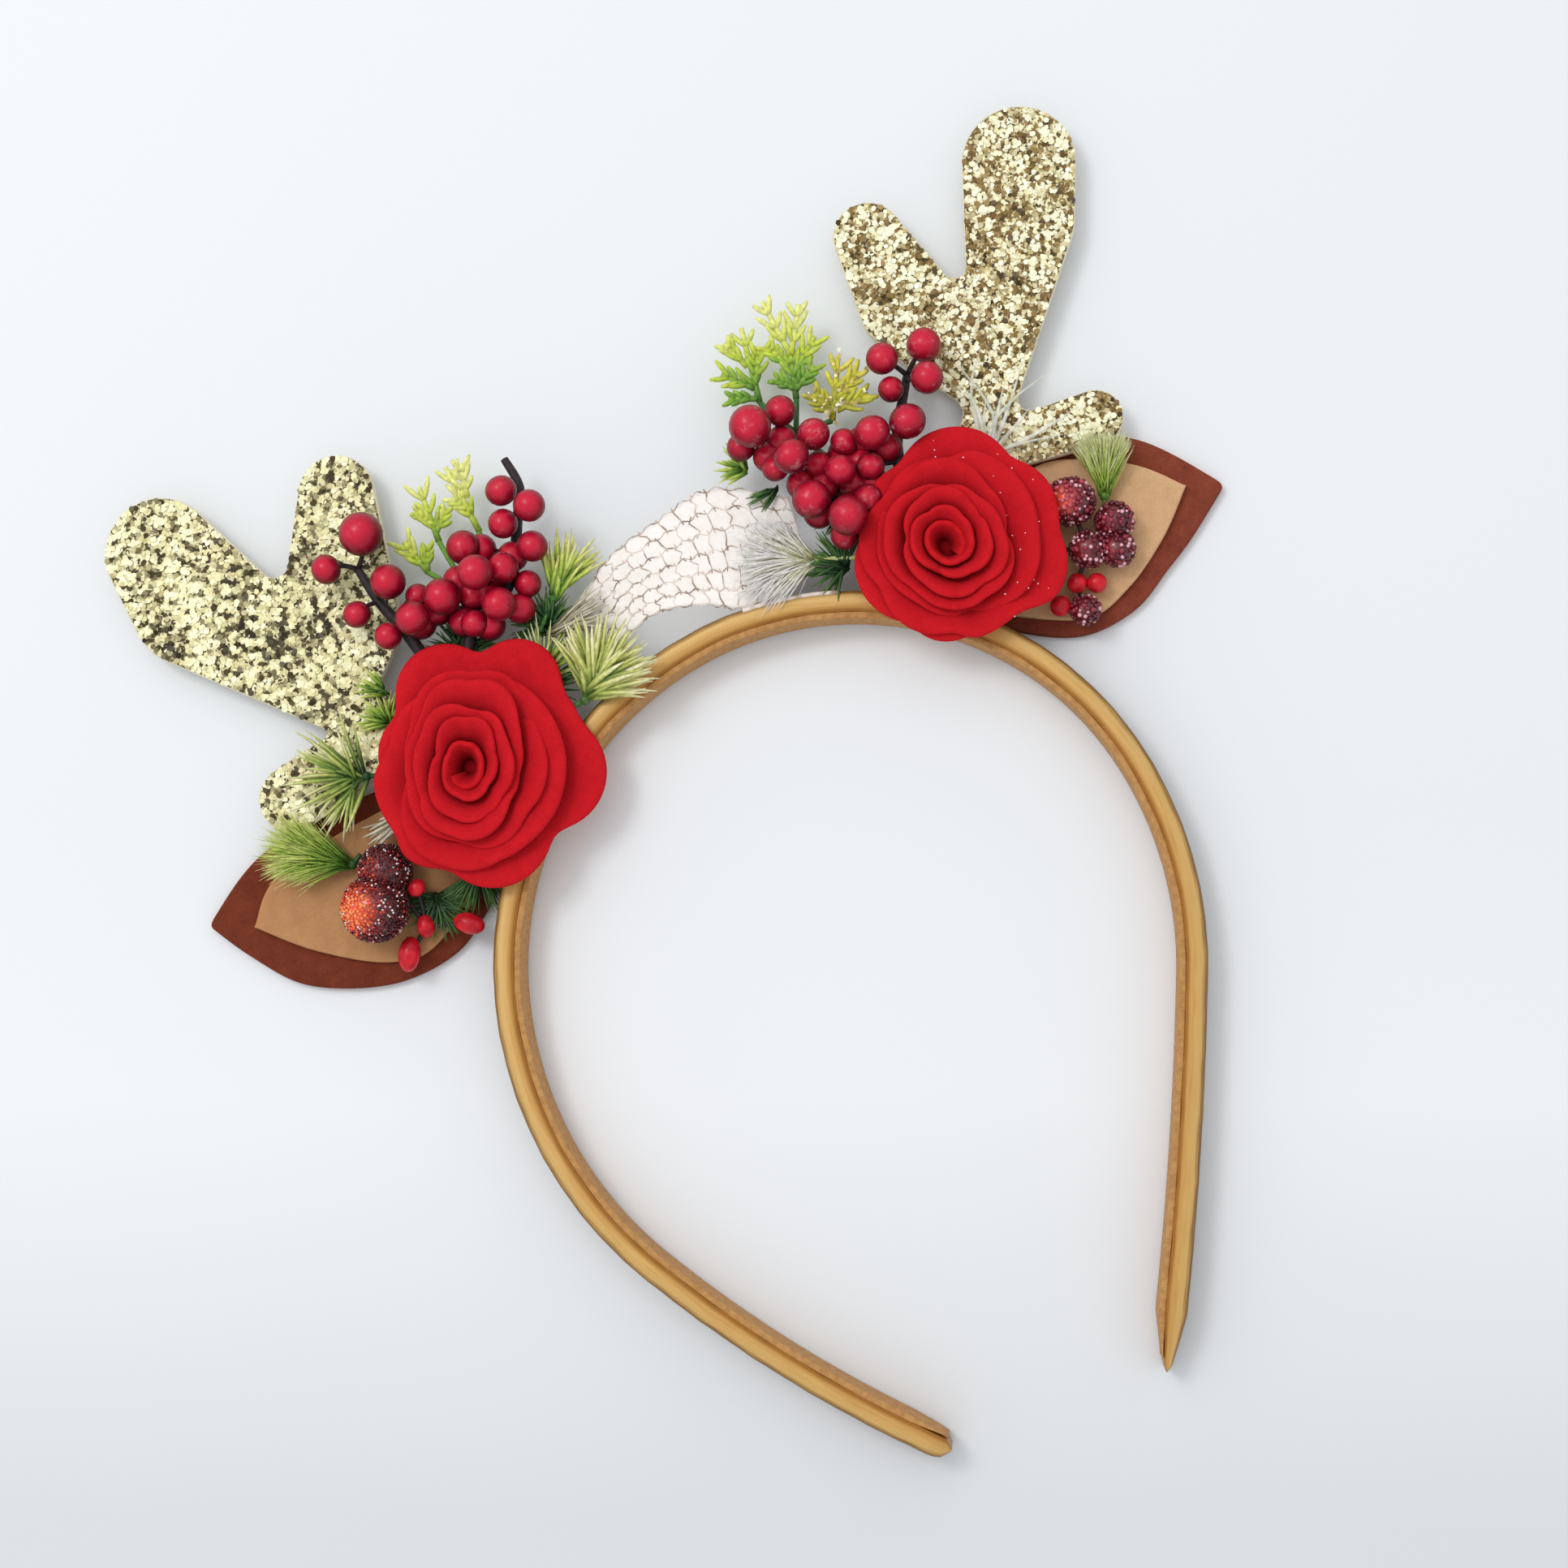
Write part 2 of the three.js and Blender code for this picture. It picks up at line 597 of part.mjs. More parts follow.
function sprigGeometry({ node, x, y, z, forkX, forkY, forkZ }) {
  const wire = rod(vec(x, y, z), vec(forkX, forkY, forkZ), SHOOT.wire, SHOOT.wire, STEM.sides);
  const shoots = rowsOf(SHOOTS, 'node', node).map(({ heading, length, rise, pairs }) => {
    const slope = new THREE.Matrix4().makeShear(0, rise / length, 0, 0, 0, 0);
    return sheet(shootShape(length, pairs), SHOOT.thick, -SHOOT.thick / 2, 1)
      .translate(-SHOOT.stem, 0, 0)
      .applyMatrix4(slope)
      .rotateZ(rad(heading))
      .translate(forkX, forkY, forkZ);
  });
  return fuse([wire, ...shoots]);
}

// A tuft: a round head on a wire, with needles fanned about its heading and raised in layers.
function tuftGeometry({ rootX, rootY, x, y, z, heading, fan, count, length, rise }) {
  const head = vec(x, y, z);
  const root = vec(rootX, rootY, Math.min(z, ROSE_Z + FELT.antler));
  const ball = new THREE.SphereGeometry(TUFT.head, TUFT.headSides, TUFT.headRings).translate(x, y, z);
  const wire = rod(root, head, TUFT.wire, TUFT.wire, TUFT.needleSides);
  const needles = Array.from({ length: count }, (_, i) => {
    const share = i / (count - 1);
    const turn = rad(heading + fan * (share - 0.5));
    const layer = (i % TUFT.layers) / (TUFT.layers - 1);
    const reach = length * lerp(1, TUFT.shortest, layer);
    const tip = vec(x + reach * Math.cos(turn), y + reach * Math.sin(turn), z + rise * (layer + 0.2));
    return rod(head, tip, TUFT.needle, 0, TUFT.needleSides);
  });
  return fuse([ball, wire, ...needles]);
}

function pickGeometry(side) {
  const fruit = rowsOf(PICK_FRUIT, 'side', side);
  const root = PICK_ROOT.find((row) => row.side === side);
  const place = ({ x, y, z }) => vec(x, y, z);
  const bodies = fruit.flatMap((row) => {
    const small = row.across < PICK.budSize;
    const [sides, rings] = small ? [PICK.budSides, PICK.budRings] : [PICK.sides, PICK.rings];
    const body = new THREE.SphereGeometry(1, sides, rings)
      .rotateX(Math.PI / 2)
      .scale(row.along, row.across, row.across)
      .rotateZ(rad(row.heading))
      .translate(row.x, row.y, row.z);
    const bearer = fruit.find((other) => other.fruit === row.from) ?? root;
    return [body, rod(place(bearer), place(row), PICK.wire, PICK.wire, PICK.wireSides)];
  });
  return fuse(bodies);
}

// Net laid between its two curved edges, open in a square in each cell of an even grid.
function netGeometry() {
  const { columns, rows, strand } = NET;
  const edgeCurve = (edge) => new THREE.SplineCurve(
    rowsOf(NET_EDGE, 'edge', edge).map(({ x, y }) => new THREE.Vector2(x, y)),
  );
  const lower = edgeCurve('lower');
  const upper = edgeCurve('upper');
  const lay = ([u, v]) => {
    const sag = NET.sag * Math.sin((Math.PI * v) / rows) * Math.sin((Math.PI * u) / columns);
    const share = (u + sag) / columns;
    return lower.getPoint(share).lerp(upper.getPoint(share), v / rows);
  };
  const outline = [];
  for (let i = 0; i <= 2 * columns; i += 1) outline.push([i / 2, 0]);
  for (let i = 2 * columns; i >= 0; i -= 1) outline.push([i / 2, rows]);
  const shape = new THREE.Shape(outline.map(lay));
  for (let i = 0; i < columns; i += 1) {
    for (let j = 0; j < rows; j += 1) {
      const [left, right] = [i + strand, i + 1 - strand];
      const [low, high] = [j + strand, j + 1 - strand];
      const corners = [[left, low], [left, high], [right, high], [right, low]];
      shape.holes.push(new THREE.Path(corners.map(lay)));
    }
  }
  const net = sheet(shape, NET.thick, NET.z, 1);
  const place = net.attributes.position;
  const [left, right] = [lower.getPoint(0).x, lower.getPoint(1).x];
  for (let i = 0; i < place.count; i += 1) {
    const share = clamp((place.getX(i) - left) / (right - left), 0, 1);
    place.setZ(i, place.getZ(i) + NET.bow * Math.sin(Math.PI * share));
  }
  return net;
}

// Finishes: colour, roughness and metalness.
const FINISH = {
  goldSatin: new THREE.MeshStandardMaterial({ color: '#c4965a', roughness: 0.42, metalness: 0.2 }),
  liningRibbon: new THREE.MeshStandardMaterial({ color: '#a9743a', roughness: 0.6, metalness: 0 }),
  glitter: new THREE.MeshStandardMaterial({ color: '#d8c98a', roughness: 0.4, metalness: 0.5 }),
  brownFelt: new THREE.MeshStandardMaterial({ color: '#763424', roughness: 0.95, metalness: 0 }),
  tanFelt: new THREE.MeshStandardMaterial({ color: '#be9260', roughness: 0.95, metalness: 0 }),
  redFelt: new THREE.MeshStandardMaterial({ color: '#cd1923', roughness: 0.9, metalness: 0 }),
  berryRed: new THREE.MeshStandardMaterial({ color: '#be1432', roughness: 0.3, metalness: 0 }),
  darkStem: new THREE.MeshStandardMaterial({ color: '#2d191e', roughness: 0.7, metalness: 0 }),
  limeSprig: new THREE.MeshStandardMaterial({ color: '#a5be46', roughness: 0.55, metalness: 0 }),
  paleNeedle: new THREE.MeshStandardMaterial({ color: '#c5d08a', roughness: 0.6, metalness: 0 }),
  sugared: new THREE.MeshStandardMaterial({ color: '#8c1a22', roughness: 0.35, metalness: 0 }),
  net: new THREE.MeshStandardMaterial({ color: '#d9cdbd', roughness: 0.8, metalness: 0 }),
};

const headband = new THREE.Group();
headband.name = 'christmas_headband';
function add(parent, name, geometry, finish) {
  const mesh = new THREE.Mesh(geometry, finish);
  mesh.name = name;
  parent.add(mesh);
}

const hoop = new THREE.Group();
add(hoop, 'band', bandGeometry(), FINISH.goldSatin);
add(hoop, 'band_lining', liningGeometry(), FINISH.liningRibbon);
headband.add(hoop);

for (const rose of ROSES) {
  const { side } = rose;
  const cluster = new THREE.Group();
  add(cluster, `antler_${side}`, antlerGeometry(side), FINISH.glitter);
  add(cluster, `ear_${side}`, earGeometry(`ear_${side}`, FELT.ear, EAR_Z), FINISH.brownFelt);
  const inner = earGeometry(`ear_${side}_inner`, FELT.earInner, EAR_INNER_Z);
  add(cluster, `ear_${side}_inner`, inner, FINISH.tanFelt);
  add(cluster, `rose_${side}`, roseGeometry(rose), FINISH.redFelt);
  rowsOf(BERRIES, 'side', side).forEach((berry, i) => {
    const number = String(i + 1).padStart(2, '0');
    add(cluster, `berry_${side}_${number}`, berryGeometry(berry), FINISH.berryRed);
  });
  add(cluster, `berry_stems_${side}`, berryStemsGeometry(side), FINISH.darkStem);
  add(cluster, `sugared_pick_${side}`, pickGeometry(side), FINISH.sugared);
  headband.add(cluster);
}

const greenery = new THREE.Group();
for (const sprig of SPRIG_WIRES) add(greenery, sprig.node, sprigGeometry(sprig), FINISH.limeSprig);
for (const tuft of TUFTS) add(greenery, tuft.node, tuftGeometry(tuft), FINISH.paleNeedle);
add(greenery, 'veil_net', netGeometry(), FINISH.net);
headband.add(greenery);

export default headband;
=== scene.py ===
# A reindeer headband for Christmas, lying on its back edge: a slim satin-wrapped hoop with glitter
# antlers, felt ears, rolled felt roses, berry picks, sprigs, needle tufts and a scrap of veil.
# Shapes are worked out in millimetres and put into their meshes in metres.
import math

import bpy
import numpy as np
from mathutils import Matrix, Vector


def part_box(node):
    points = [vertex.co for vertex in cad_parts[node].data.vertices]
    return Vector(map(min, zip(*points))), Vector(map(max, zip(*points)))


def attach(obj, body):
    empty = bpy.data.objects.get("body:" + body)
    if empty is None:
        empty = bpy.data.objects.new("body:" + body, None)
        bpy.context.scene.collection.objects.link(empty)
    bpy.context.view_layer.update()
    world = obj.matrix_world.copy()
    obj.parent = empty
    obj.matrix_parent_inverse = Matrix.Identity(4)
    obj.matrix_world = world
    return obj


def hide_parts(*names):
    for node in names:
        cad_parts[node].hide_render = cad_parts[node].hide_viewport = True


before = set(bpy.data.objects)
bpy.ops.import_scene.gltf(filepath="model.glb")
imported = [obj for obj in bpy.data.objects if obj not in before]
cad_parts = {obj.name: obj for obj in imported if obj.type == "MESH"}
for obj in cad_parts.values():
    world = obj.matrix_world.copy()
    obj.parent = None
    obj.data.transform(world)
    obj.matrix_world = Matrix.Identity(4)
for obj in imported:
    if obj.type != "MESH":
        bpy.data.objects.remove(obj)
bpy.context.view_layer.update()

MM = 0.001

# The camera looks down on the headband, tipped a little towards the hoop's ends and turned so
# that the antlers point up the picture.
EYE = Vector((20.8, -76.3, 420)) * MM
AIM = Vector((2.8, -28.3, 0)) * MM
PAGE_UP = Vector((0.414, 0.910, 0))
VIEW_ANGLE = 36.63
camera = bpy.data.objects.new("camera", bpy.data.cameras.new("camera"))
back = (EYE - AIM).normalized()
right = PAGE_UP.cross(back).normalized()
turned = Matrix((right, back.cross(right), back)).transposed()
camera.matrix_world = Matrix.Translation(EYE) @ turned.to_4x4()
camera.data.angle = math.radians(VIEW_ANGLE)
camera.data.clip_start = 0.01
bpy.context.scene.collection.objects.link(camera)
bpy.context.scene.camera = camera
bpy.context.scene.view_settings.view_transform = "Standard"


# Soft daylight from almost straight above: a wide window, a small lamp beside it that gives the
# glints, and a pale room all round that fills the shadows.
LIGHTS = {"window": ((-0.12, 0.62, 1.40), 1.5, 4.4), "lamp": ((-0.25, 0.45, 0.95), 0.3, 2.6)}
ROOM_LIGHT = (0.96, 0.98, 1.0, 1)
ROOM_STRENGTH = 0.76
for name, (spot, size, power) in LIGHTS.items():
    light = bpy.data.objects.new(name, bpy.data.lights.new(name, "AREA"))
    light.data.energy = power
    light.data.size = size
    light.location = spot
    light.rotation_euler = (AIM - Vector(spot)).to_track_quat("-Z", "Y").to_euler()
    bpy.context.scene.collection.objects.link(light)
room = bpy.data.worlds.new("room")
room.use_nodes = True
room.node_tree.nodes["Background"].inputs["Color"].default_value = ROOM_LIGHT
room.node_tree.nodes["Background"].inputs["Strength"].default_value = ROOM_STRENGTH
bpy.context.scene.world = room


# The floor is a pale matt board with a faint grain. Its colour is painted greyer towards the hoop's
# ends, a painted shade for the light falling off away from the lamps. It is staged under the
# headband and isn't part of it.
FLOOR_HALF = 1500
FLOOR_Z = -0.05
# The greys run from the board's own pale grey to a painted shade for the light falling off towards
# the hoop's ends.
FLOOR_GREYS = [(0.0, (0.822, 0.842, 0.862, 1)), (0.45, (0.848, 0.862, 0.880, 1)),
               (1.0, (0.705, 0.721, 0.737, 1))]
FLOOR_SHADE_FADE, FLOOR_GRAIN = (-0.03, -0.16), 0.12


def place(tree, kind, sockets=None, **settings):
    """Adds a shader node with its own settings; a socket gets a value, or a link from a socket."""
    node = tree.nodes.new("ShaderNode" + kind)
    for name, value in settings.items():
        setattr(node, name, value)
    for name, value in (sockets or {}).items():
        if isinstance(value, bpy.types.NodeSocket):
            tree.links.new(value, node.inputs[name])
        else:
            node.inputs[name].default_value = value
    return node


def new_finish(name, sockets):
    """A material whose one Principled shader has these constant values, and its node tree."""
    material = bpy.data.materials.new(name)
    material.use_nodes = True
    for socket, value in sockets.items():
        material.node_tree.nodes["Principled BSDF"].inputs[socket].default_value = value
    return material, material.node_tree


def feed(tree, socket, value):
    """Links a value that changes over the surface into the material's shader."""
    tree.links.new(value, tree.nodes["Principled BSDF"].inputs[socket])


def speckle(tree, scale, detail, **more):
    """Fractal noise on the piece's own coordinates, from 0 to 1."""
    where = place(tree, "TexCoord").outputs["Object"]
    sockets = {"Vector": where, "Scale": scale, "Detail": detail, **more}
    return place(tree, "TexNoise", sockets).outputs["Fac"]


def reckon(tree, operation, *values):
    """Result of one sum over sockets and numbers."""
    return place(tree, "Math", dict(enumerate(values)), operation=operation).outputs[0]


def remap(tree, value, low, high, to_low=0.0, to_high=1.0):
    """A value carried from one range to another, and held at its ends."""
    return place(tree, "MapRange", {"Value": value, "From Min": low, "From Max": high,
                                    "To Min": to_low, "To Max": to_high}).outputs[0]


def ramp(tree, factor, stops):
    """Colour of a 0 to 1 factor, in straight runs between stops of (place, colour)."""
    node = place(tree, "ValToRGB", {"Fac": factor})
    for spare in list(node.color_ramp.elements)[1:]:
        node.color_ramp.elements.remove(spare)
    node.color_ramp.elements[0].position = stops[0][0]
    node.color_ramp.elements[0].color = stops[0][1]
    for at, colour in stops[1:]:
        node.color_ramp.elements.new(at).color = colour
    return node.outputs["Color"]


def make_mesh(name, points, faces, finish, marks=None, smooth=True):
    """Object of a mesh from arrays: points in millimetres, faces in groups of equal corner count.
    Faces with more than four corners are flat. A mark is a number or a colour for each point."""
    mesh = bpy.data.meshes.new(name)
    points = np.asarray(points, np.float32).reshape(-1, 3) * MM
    corners = np.concatenate([group.ravel() for group in faces]).astype(np.int32)
    sizes = np.concatenate([np.full(len(group), group.shape[1]) for group in faces])
    mesh.vertices.add(len(points))
    mesh.vertices.foreach_set("co", points.ravel())
    mesh.loops.add(len(corners))
    mesh.loops.foreach_set("vertex_index", corners)
    mesh.polygons.add(len(sizes))
    mesh.polygons.foreach_set("loop_start", (np.cumsum(sizes) - sizes).astype(np.int32))
    mesh.polygons.foreach_set("use_smooth", smooth & (sizes <= 4))
    for mark, values in (marks or {}).items():
        values = np.asarray(values, np.float32)
        kind, key = ("FLOAT_COLOR", "color") if values.shape[-1] == 4 else ("FLOAT", "value")
        attribute = mesh.attributes.new(mark, kind, "POINT")
        attribute.data.foreach_set(key, values.ravel())
    mesh.update(calc_edges=True)
    mesh.validate()
    mesh.materials.append(finish)
    made = bpy.data.objects.new(name, mesh)
    bpy.context.scene.collection.objects.link(made)
    return made


board, tree = new_finish("pale_board", {"Roughness": 0.85})
where = place(tree, "TexCoord").outputs["Object"]
up_page = place(tree, "VectorMath", {0: where, 1: PAGE_UP}, operation="DOT_PRODUCT")
down = remap(tree, up_page.outputs["Value"], *FLOOR_SHADE_FADE)
grain_and_shade = reckon(tree, "MULTIPLY_ADD", speckle(tree, 9, 6), FLOOR_GRAIN, down)
feed(tree, "Base Color", ramp(tree, grain_and_shade, FLOOR_GREYS))
floor_corners = np.array([[-1, -1], [1, -1], [1, 1], [-1, 1]]) * FLOOR_HALF
floor_points = np.column_stack([floor_corners, np.full(4, FLOOR_Z)])
make_mesh("floor", floor_points, [np.array([[0, 1, 2, 3]])], board)


# The hoop is a springy strip wrapped in gold satin, with its long seam on the inner shoulder. It
# lies on edge, so its height stands up from the floor. The left end is blunt, the right pointed.
HOOP_ARCS = {-1: ((63.6, 73.5), (68, 41), (226, 15.2)), 1: ((57.6, 84.5), (66.8, 35), (694, 5.6))}
HOOP_TURN = math.radians(3.1)
BAND_HALF, BAND_HEIGHT, BAND_ROUND = 1.6, 9.0, 1.15
WRAP_PROUD = 1.4
BLUNT_END, POINTED_END = (3, 0.78, 0.85, 1.6), (10, 0.30, 0.75, 1.2)
BAND_STEP, CORNER_STEPS, SIDE_STEPS = 1.3, 7, 11
SEAM_AT, SEAM_WIDE, SEAM_DEEP, SEAM_INWARDS = (-1.26, 8.66), 0.22, 0.12, np.array((0.6, -0.8))
CREASE, WEFTS, STREAK_STRETCH, STREAK_SHIFT = 0.05, 26.0, (0.12, 70, 1), 0.09
# Colour across the wrap, from the outer foot over the top to the inner side: the satin's gold, with
# painted shade down the outer side and shoulder, a painted sheen highlight over the top edge, and a
# darker orange down the inner side.
SATIN_PAINTED_SHEEN_ACROSS = [(0.0, (0.188, 0.091, 0.017, 1)), (0.36, (0.102, 0.048, 0.008, 1)),
                (0.41, (0.305, 0.15, 0.032, 1)), (0.45, (0.63, 0.392, 0.132, 1)),
                (0.485, (0.61, 0.360, 0.108, 1)), (0.51, (0.53, 0.277, 0.069, 1)),
                (0.545, (0.50, 0.243, 0.048, 1)), (0.60, (0.456, 0.195, 0.03, 1)),
                (0.66, (0.352, 0.141, 0.021, 1)), (1.0, (0.352, 0.141, 0.021, 1))]
SEAM_DARK = (0.36, 0.15, 0.03, 1)


def add_piece(name, points, faces, finish, slot, nodes=(), marks=None, smooth=True):
    """A mesh that belongs to the headband: it rides on the one body and stands for CAD nodes."""
    piece = make_mesh(name, points, faces, finish, marks, smooth)
    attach(piece, "root")
    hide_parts(*nodes)
    return piece


def hoop_line(lengths):
    """Points of the hoop's middle line and its outward ways, at lengths from the crown: arcs in
    turn, each going on from the last one's heading, mirrored on the left, then all turned as the
    hoop lies."""
    x, y, heading = np.zeros((3, len(lengths)))
    for way, arcs in HOOP_ARCS.items():
        rest = np.where(np.sign(lengths) == way, np.abs(lengths), 0)
        for radius, sweep in arcs:
            run = np.minimum(rest, radius * math.radians(sweep))
            swung = heading + run / radius
            x += way * radius * (np.sin(swung) - np.sin(heading))
            y += radius * (np.cos(swung) - np.cos(heading))
            heading, rest = swung, rest - run
    turn = np.array([[math.cos(HOOP_TURN), math.sin(HOOP_TURN)],
                     [-math.sin(HOOP_TURN), math.cos(HOOP_TURN)]])
    out = np.column_stack([np.sign(lengths) * np.sin(heading), np.cos(heading)])
    return np.column_stack([x, y]) @ turn, out @ turn


def along_hoop(lengths, away, height):
    """Rings of points beside the hoop's line: each ring away outwards and up by its heights."""
    line, out = hoop_line(lengths)
    plan = line[:, None] + out[:, None] * away[..., None]
    return np.concatenate([plan, height[..., None]], axis=-1)


def hoop_length(way):
    """Length of one arm of the hoop: the sum of its arcs."""
    return sum(radius * math.radians(sweep) for radius, sweep in HOOP_ARCS[way])


def rounded_profile(half, low, high, corner, side_steps):
    """Ring of a tall rounded rectangle as (outwards, height): four quarter arcs and even sides,
    from the outer foot up, over the top and down the inner side."""
    quarter = np.linspace(0, math.pi / 2, CORNER_STEPS)
    arcs = []
    for k, (across, up) in enumerate(((1, low + corner), (1, high - corner),
                                      (-1, high - corner), (-1, low + corner))):
        angle = quarter + (k - 1) * math.pi / 2
        middle = np.array([across * (half - corner), up])
        arcs.append(middle + corner * np.column_stack([np.cos(angle), np.sin(angle)]))
    share = np.linspace(0, 1, side_steps)[1:-1, None]
    rise = arcs[0][-1] + share * (arcs[1][0] - arcs[0][-1])
    fall = arcs[2][-1] + share * (arcs[3][0] - arcs[2][-1])
    return np.concatenate([arcs[0], rise, arcs[1], arcs[2], fall, arcs[3]])


def ring_faces(rings, around):
    """Quads between rings that close on themselves, and a flat cap at each end."""
    index = np.arange(rings * around).reshape(rings, around)
    ahead = np.roll(index, -1, axis=1)
    quads = np.stack([index[:-1], ahead[:-1], ahead[1:], index[1:]], axis=-1).reshape(-1, 4)
    return [quads, index[:1, ::-1], index[-1:]]


def read_mark(tree, name):
    """Number that the mesh keeps for each point under this name."""
    return place(tree, "Attribute", attribute_name=name).outputs["Fac"]


def mixed(tree, share, first, second, **settings):
    """Two colours mixed by a share of the second."""
    return place(tree, "MixRGB", {"Fac": share, "Color1": first, "Color2": second},
                 **settings).outputs[0]


def emboss(tree, height, strength, depth):
    """Raises the surface by a height of 0 to 1, through the shader's normal."""
    bump = place(tree, "Bump", {"Height": height, "Strength": strength, "Distance": depth})
    feed(tree, "Normal", bump.outputs[0])


def end_shape(lengths):
    """Shares of the hoop's full thickness and height at lengths from the crown: each end tapers
    over its own length, and its last bit is rounded off."""
    right = (lengths > 0)[:, None]
    taper, slim, short, blunt = np.where(right, POINTED_END, BLUNT_END).T
    to_end = np.minimum(lengths - start, end - lengths)
    full = np.clip(to_end / taper, 0, 1)
    rounded = np.sqrt(1 - (1 - np.clip(to_end / blunt, 0.02, 1)) ** 2)
    return (slim + (1 - slim) * full) * rounded, short + (1 - short) * full


start, end = -hoop_length(-1), hoop_length(1)
lengths = np.linspace(start, end, int((end - start) / BAND_STEP))
thick, tall = end_shape(lengths)
profile = rounded_profile(BAND_HALF, 0, BAND_HEIGHT, BAND_ROUND, SIDE_STEPS)
seam = np.exp(-(((profile - SEAM_AT) / SEAM_WIDE) ** 2).sum(axis=1))
profile = profile + SEAM_DEEP * seam[:, None] * SEAM_INWARDS
around = np.linspace(0, 1, len(profile), endpoint=False)
crease = CREASE * np.sin(0.83 * lengths)[:, None] * np.sin(0.31 * lengths + 2)[:, None]
away = (profile[:, 0] * thick[:, None]) * (1 + crease * np.sin(6 * math.pi * around))
away = np.where(away > 0, WRAP_PROUD, 1) * away
points = along_hoop(lengths, away, profile[:, 1] * tall[:, None])
marks = {"along": np.repeat(lengths, len(profile)), "around": np.tile(around, len(lengths)),
         "seam": np.tile(seam, len(lengths))}
satin, tree = new_finish("gold_satin", {"Roughness": 0.4, "Metallic": 0.12, "Anisotropic": 0.45,
                                        "Specular IOR Level": 0.35})
along, across = read_mark(tree, "along"), read_mark(tree, "around")
streak_at = place(tree, "CombineXYZ", {"X": along, "Y": across}).outputs[0]
streak_at = place(tree, "Mapping", {"Vector": streak_at, "Scale": STREAK_STRETCH}).outputs[0]
streaks = place(tree, "TexNoise", {"Vector": streak_at, "Scale": 1.0, "Detail": 5.0}).outputs["Fac"]
shift = reckon(tree, "MULTIPLY_ADD", streaks, STREAK_SHIFT, across)
shift = reckon(tree, "SUBTRACT", shift, STREAK_SHIFT / 2)
# The wrap's colour is the painted sheen and shade across it, shifted a little by streaks and
# darkened along the seam.
feed(tree, "Base Color", mixed(tree, read_mark(tree, "seam"), ramp(tree, shift, SATIN_PAINTED_SHEEN_ACROSS),
                               SEAM_DARK))
weft = reckon(tree, "SINE", reckon(tree, "MULTIPLY", along, WEFTS))
emboss(tree, reckon(tree, "MULTIPLY_ADD", weft, 0.25, streaks), 0.25, 0.0001)
add_piece("band_wrap", points, ring_faces(len(lengths), len(profile)), satin, "gold_satin",
          ["band"], marks)


# The lining is a flat woven ribbon glued along the hoop's inner face, duller and more orange
# than the satin.
LINING_AWAY, LINING_HALF, LINING_LOW, LINING_HIGH = -2.1, 0.58, 0.8, 8.5
LINING_INSETS, LINING_THINS, LINING_ROUND, RIBS = (1.2, 2.2), 7, 0.3, 14.0
LINING_STEPS, LINING_SIDE_STEPS, LINING_EASE = 260, 7, 0.06
LINING_LIGHT = (0.54, 0.28, 0.085, 1)
LINING_DEEP = (0.41, 0.19, 0.05, 1)
lengths = np.linspace(start + LINING_INSETS[0], end - LINING_INSETS[1], LINING_STEPS)
profile = rounded_profile(LINING_HALF, LINING_LOW, LINING_HIGH, LINING_ROUND,
                          LINING_SIDE_STEPS)
ease = LINING_EASE * np.sin(0.35 * lengths) * np.sin(0.11 * lengths + 1)
thick, tall = end_shape(lengths)
thin = np.clip(np.minimum(lengths - lengths[0], lengths[-1] - lengths) / LINING_THINS, 0.15, 1)
away = LINING_AWAY * thick[:, None] + profile[:, 0] * thin[:, None]
away = away + ease[:, None] * (profile[:, 1] > 4)
points = along_hoop(lengths, away, profile[:, 1] * tall[:, None])


def mottled(name, sockets, scale, detail, stops, relief=None):
    """A finish whose colour wanders between stops with noise, which may also raise it by a strength
    and a depth. Returns the material, its tree and the noise."""
    finish, tree = new_finish(name, sockets)
    noise = speckle(tree, scale, detail)
    feed(tree, "Base Color", ramp(tree, noise, stops))
    if relief:
        emboss(tree, noise, *relief)
    return finish, tree, noise


ribbon, tree, mottle = mottled("woven_ribbon", {"Roughness": 0.7}, 900, 5,
                               [(0.32, LINING_DEEP), (0.65, LINING_LIGHT)])
ribs = reckon(tree, "MULTIPLY", read_mark(tree, "along"), RIBS)
emboss(tree, reckon(tree, "SINE", ribs), 0.4, 0.00008)
add_piece("band_ribbon", points, ring_faces(len(lengths), len(profile)), ribbon, "lining_ribbon",
          ["band_lining"], {"along": np.repeat(lengths, len(profile))})


# The ears are cut from pressed felt: a red-brown leaf shape with a smaller tan one glued on it.
# They are held behind the roses and lie flat.
EAR_EDGES = {
    "ear_left": (
        [(-39.4, -13.9), (-50, -2), (-66, 1.5), (-88, 0), (-102.5, -8)],
        [(-97.5, -16.5), (-90, -25.5), (-76.5, -31.5), (-64.3, -31.6), (-56.1, -27.5),
         (-44.7, -18.7)],
    ),
    "ear_left_inner": (
        [(-46, -10), (-55, -4), (-66, -2.5), (-86.5, -5), (-94.5, -12)],
        [(-86, -20.5), (-74.5, -28), (-65, -28.5), (-51, -19)],
    ),
    "ear_right": (
        [(41.5, -11.5), (54, 0), (70.2, 6), (84.9, 1.6), (96, -13)],
        [(87, -19), (80.5, -22.5), (72.5, -26.5), (62.5, -27), (53.5, -22.5), (47, -16.4)],
    ),
    "ear_right_inner": (
        [(46, -10), (56, -1.5), (68, 4), (82, -2.5), (89.5, -10.5)],
        [(82, -17.2), (72.5, -22.8), (63.5, -24.5), (51, -18)],
    ),
}
EAR_FELT_Z = (0, 2.0)
EAR_INNER_Z = (2.1, 3.5)
FELT_ROUND, EDGE_STEPS, CLUMPED = 0.55, 14, 0.38
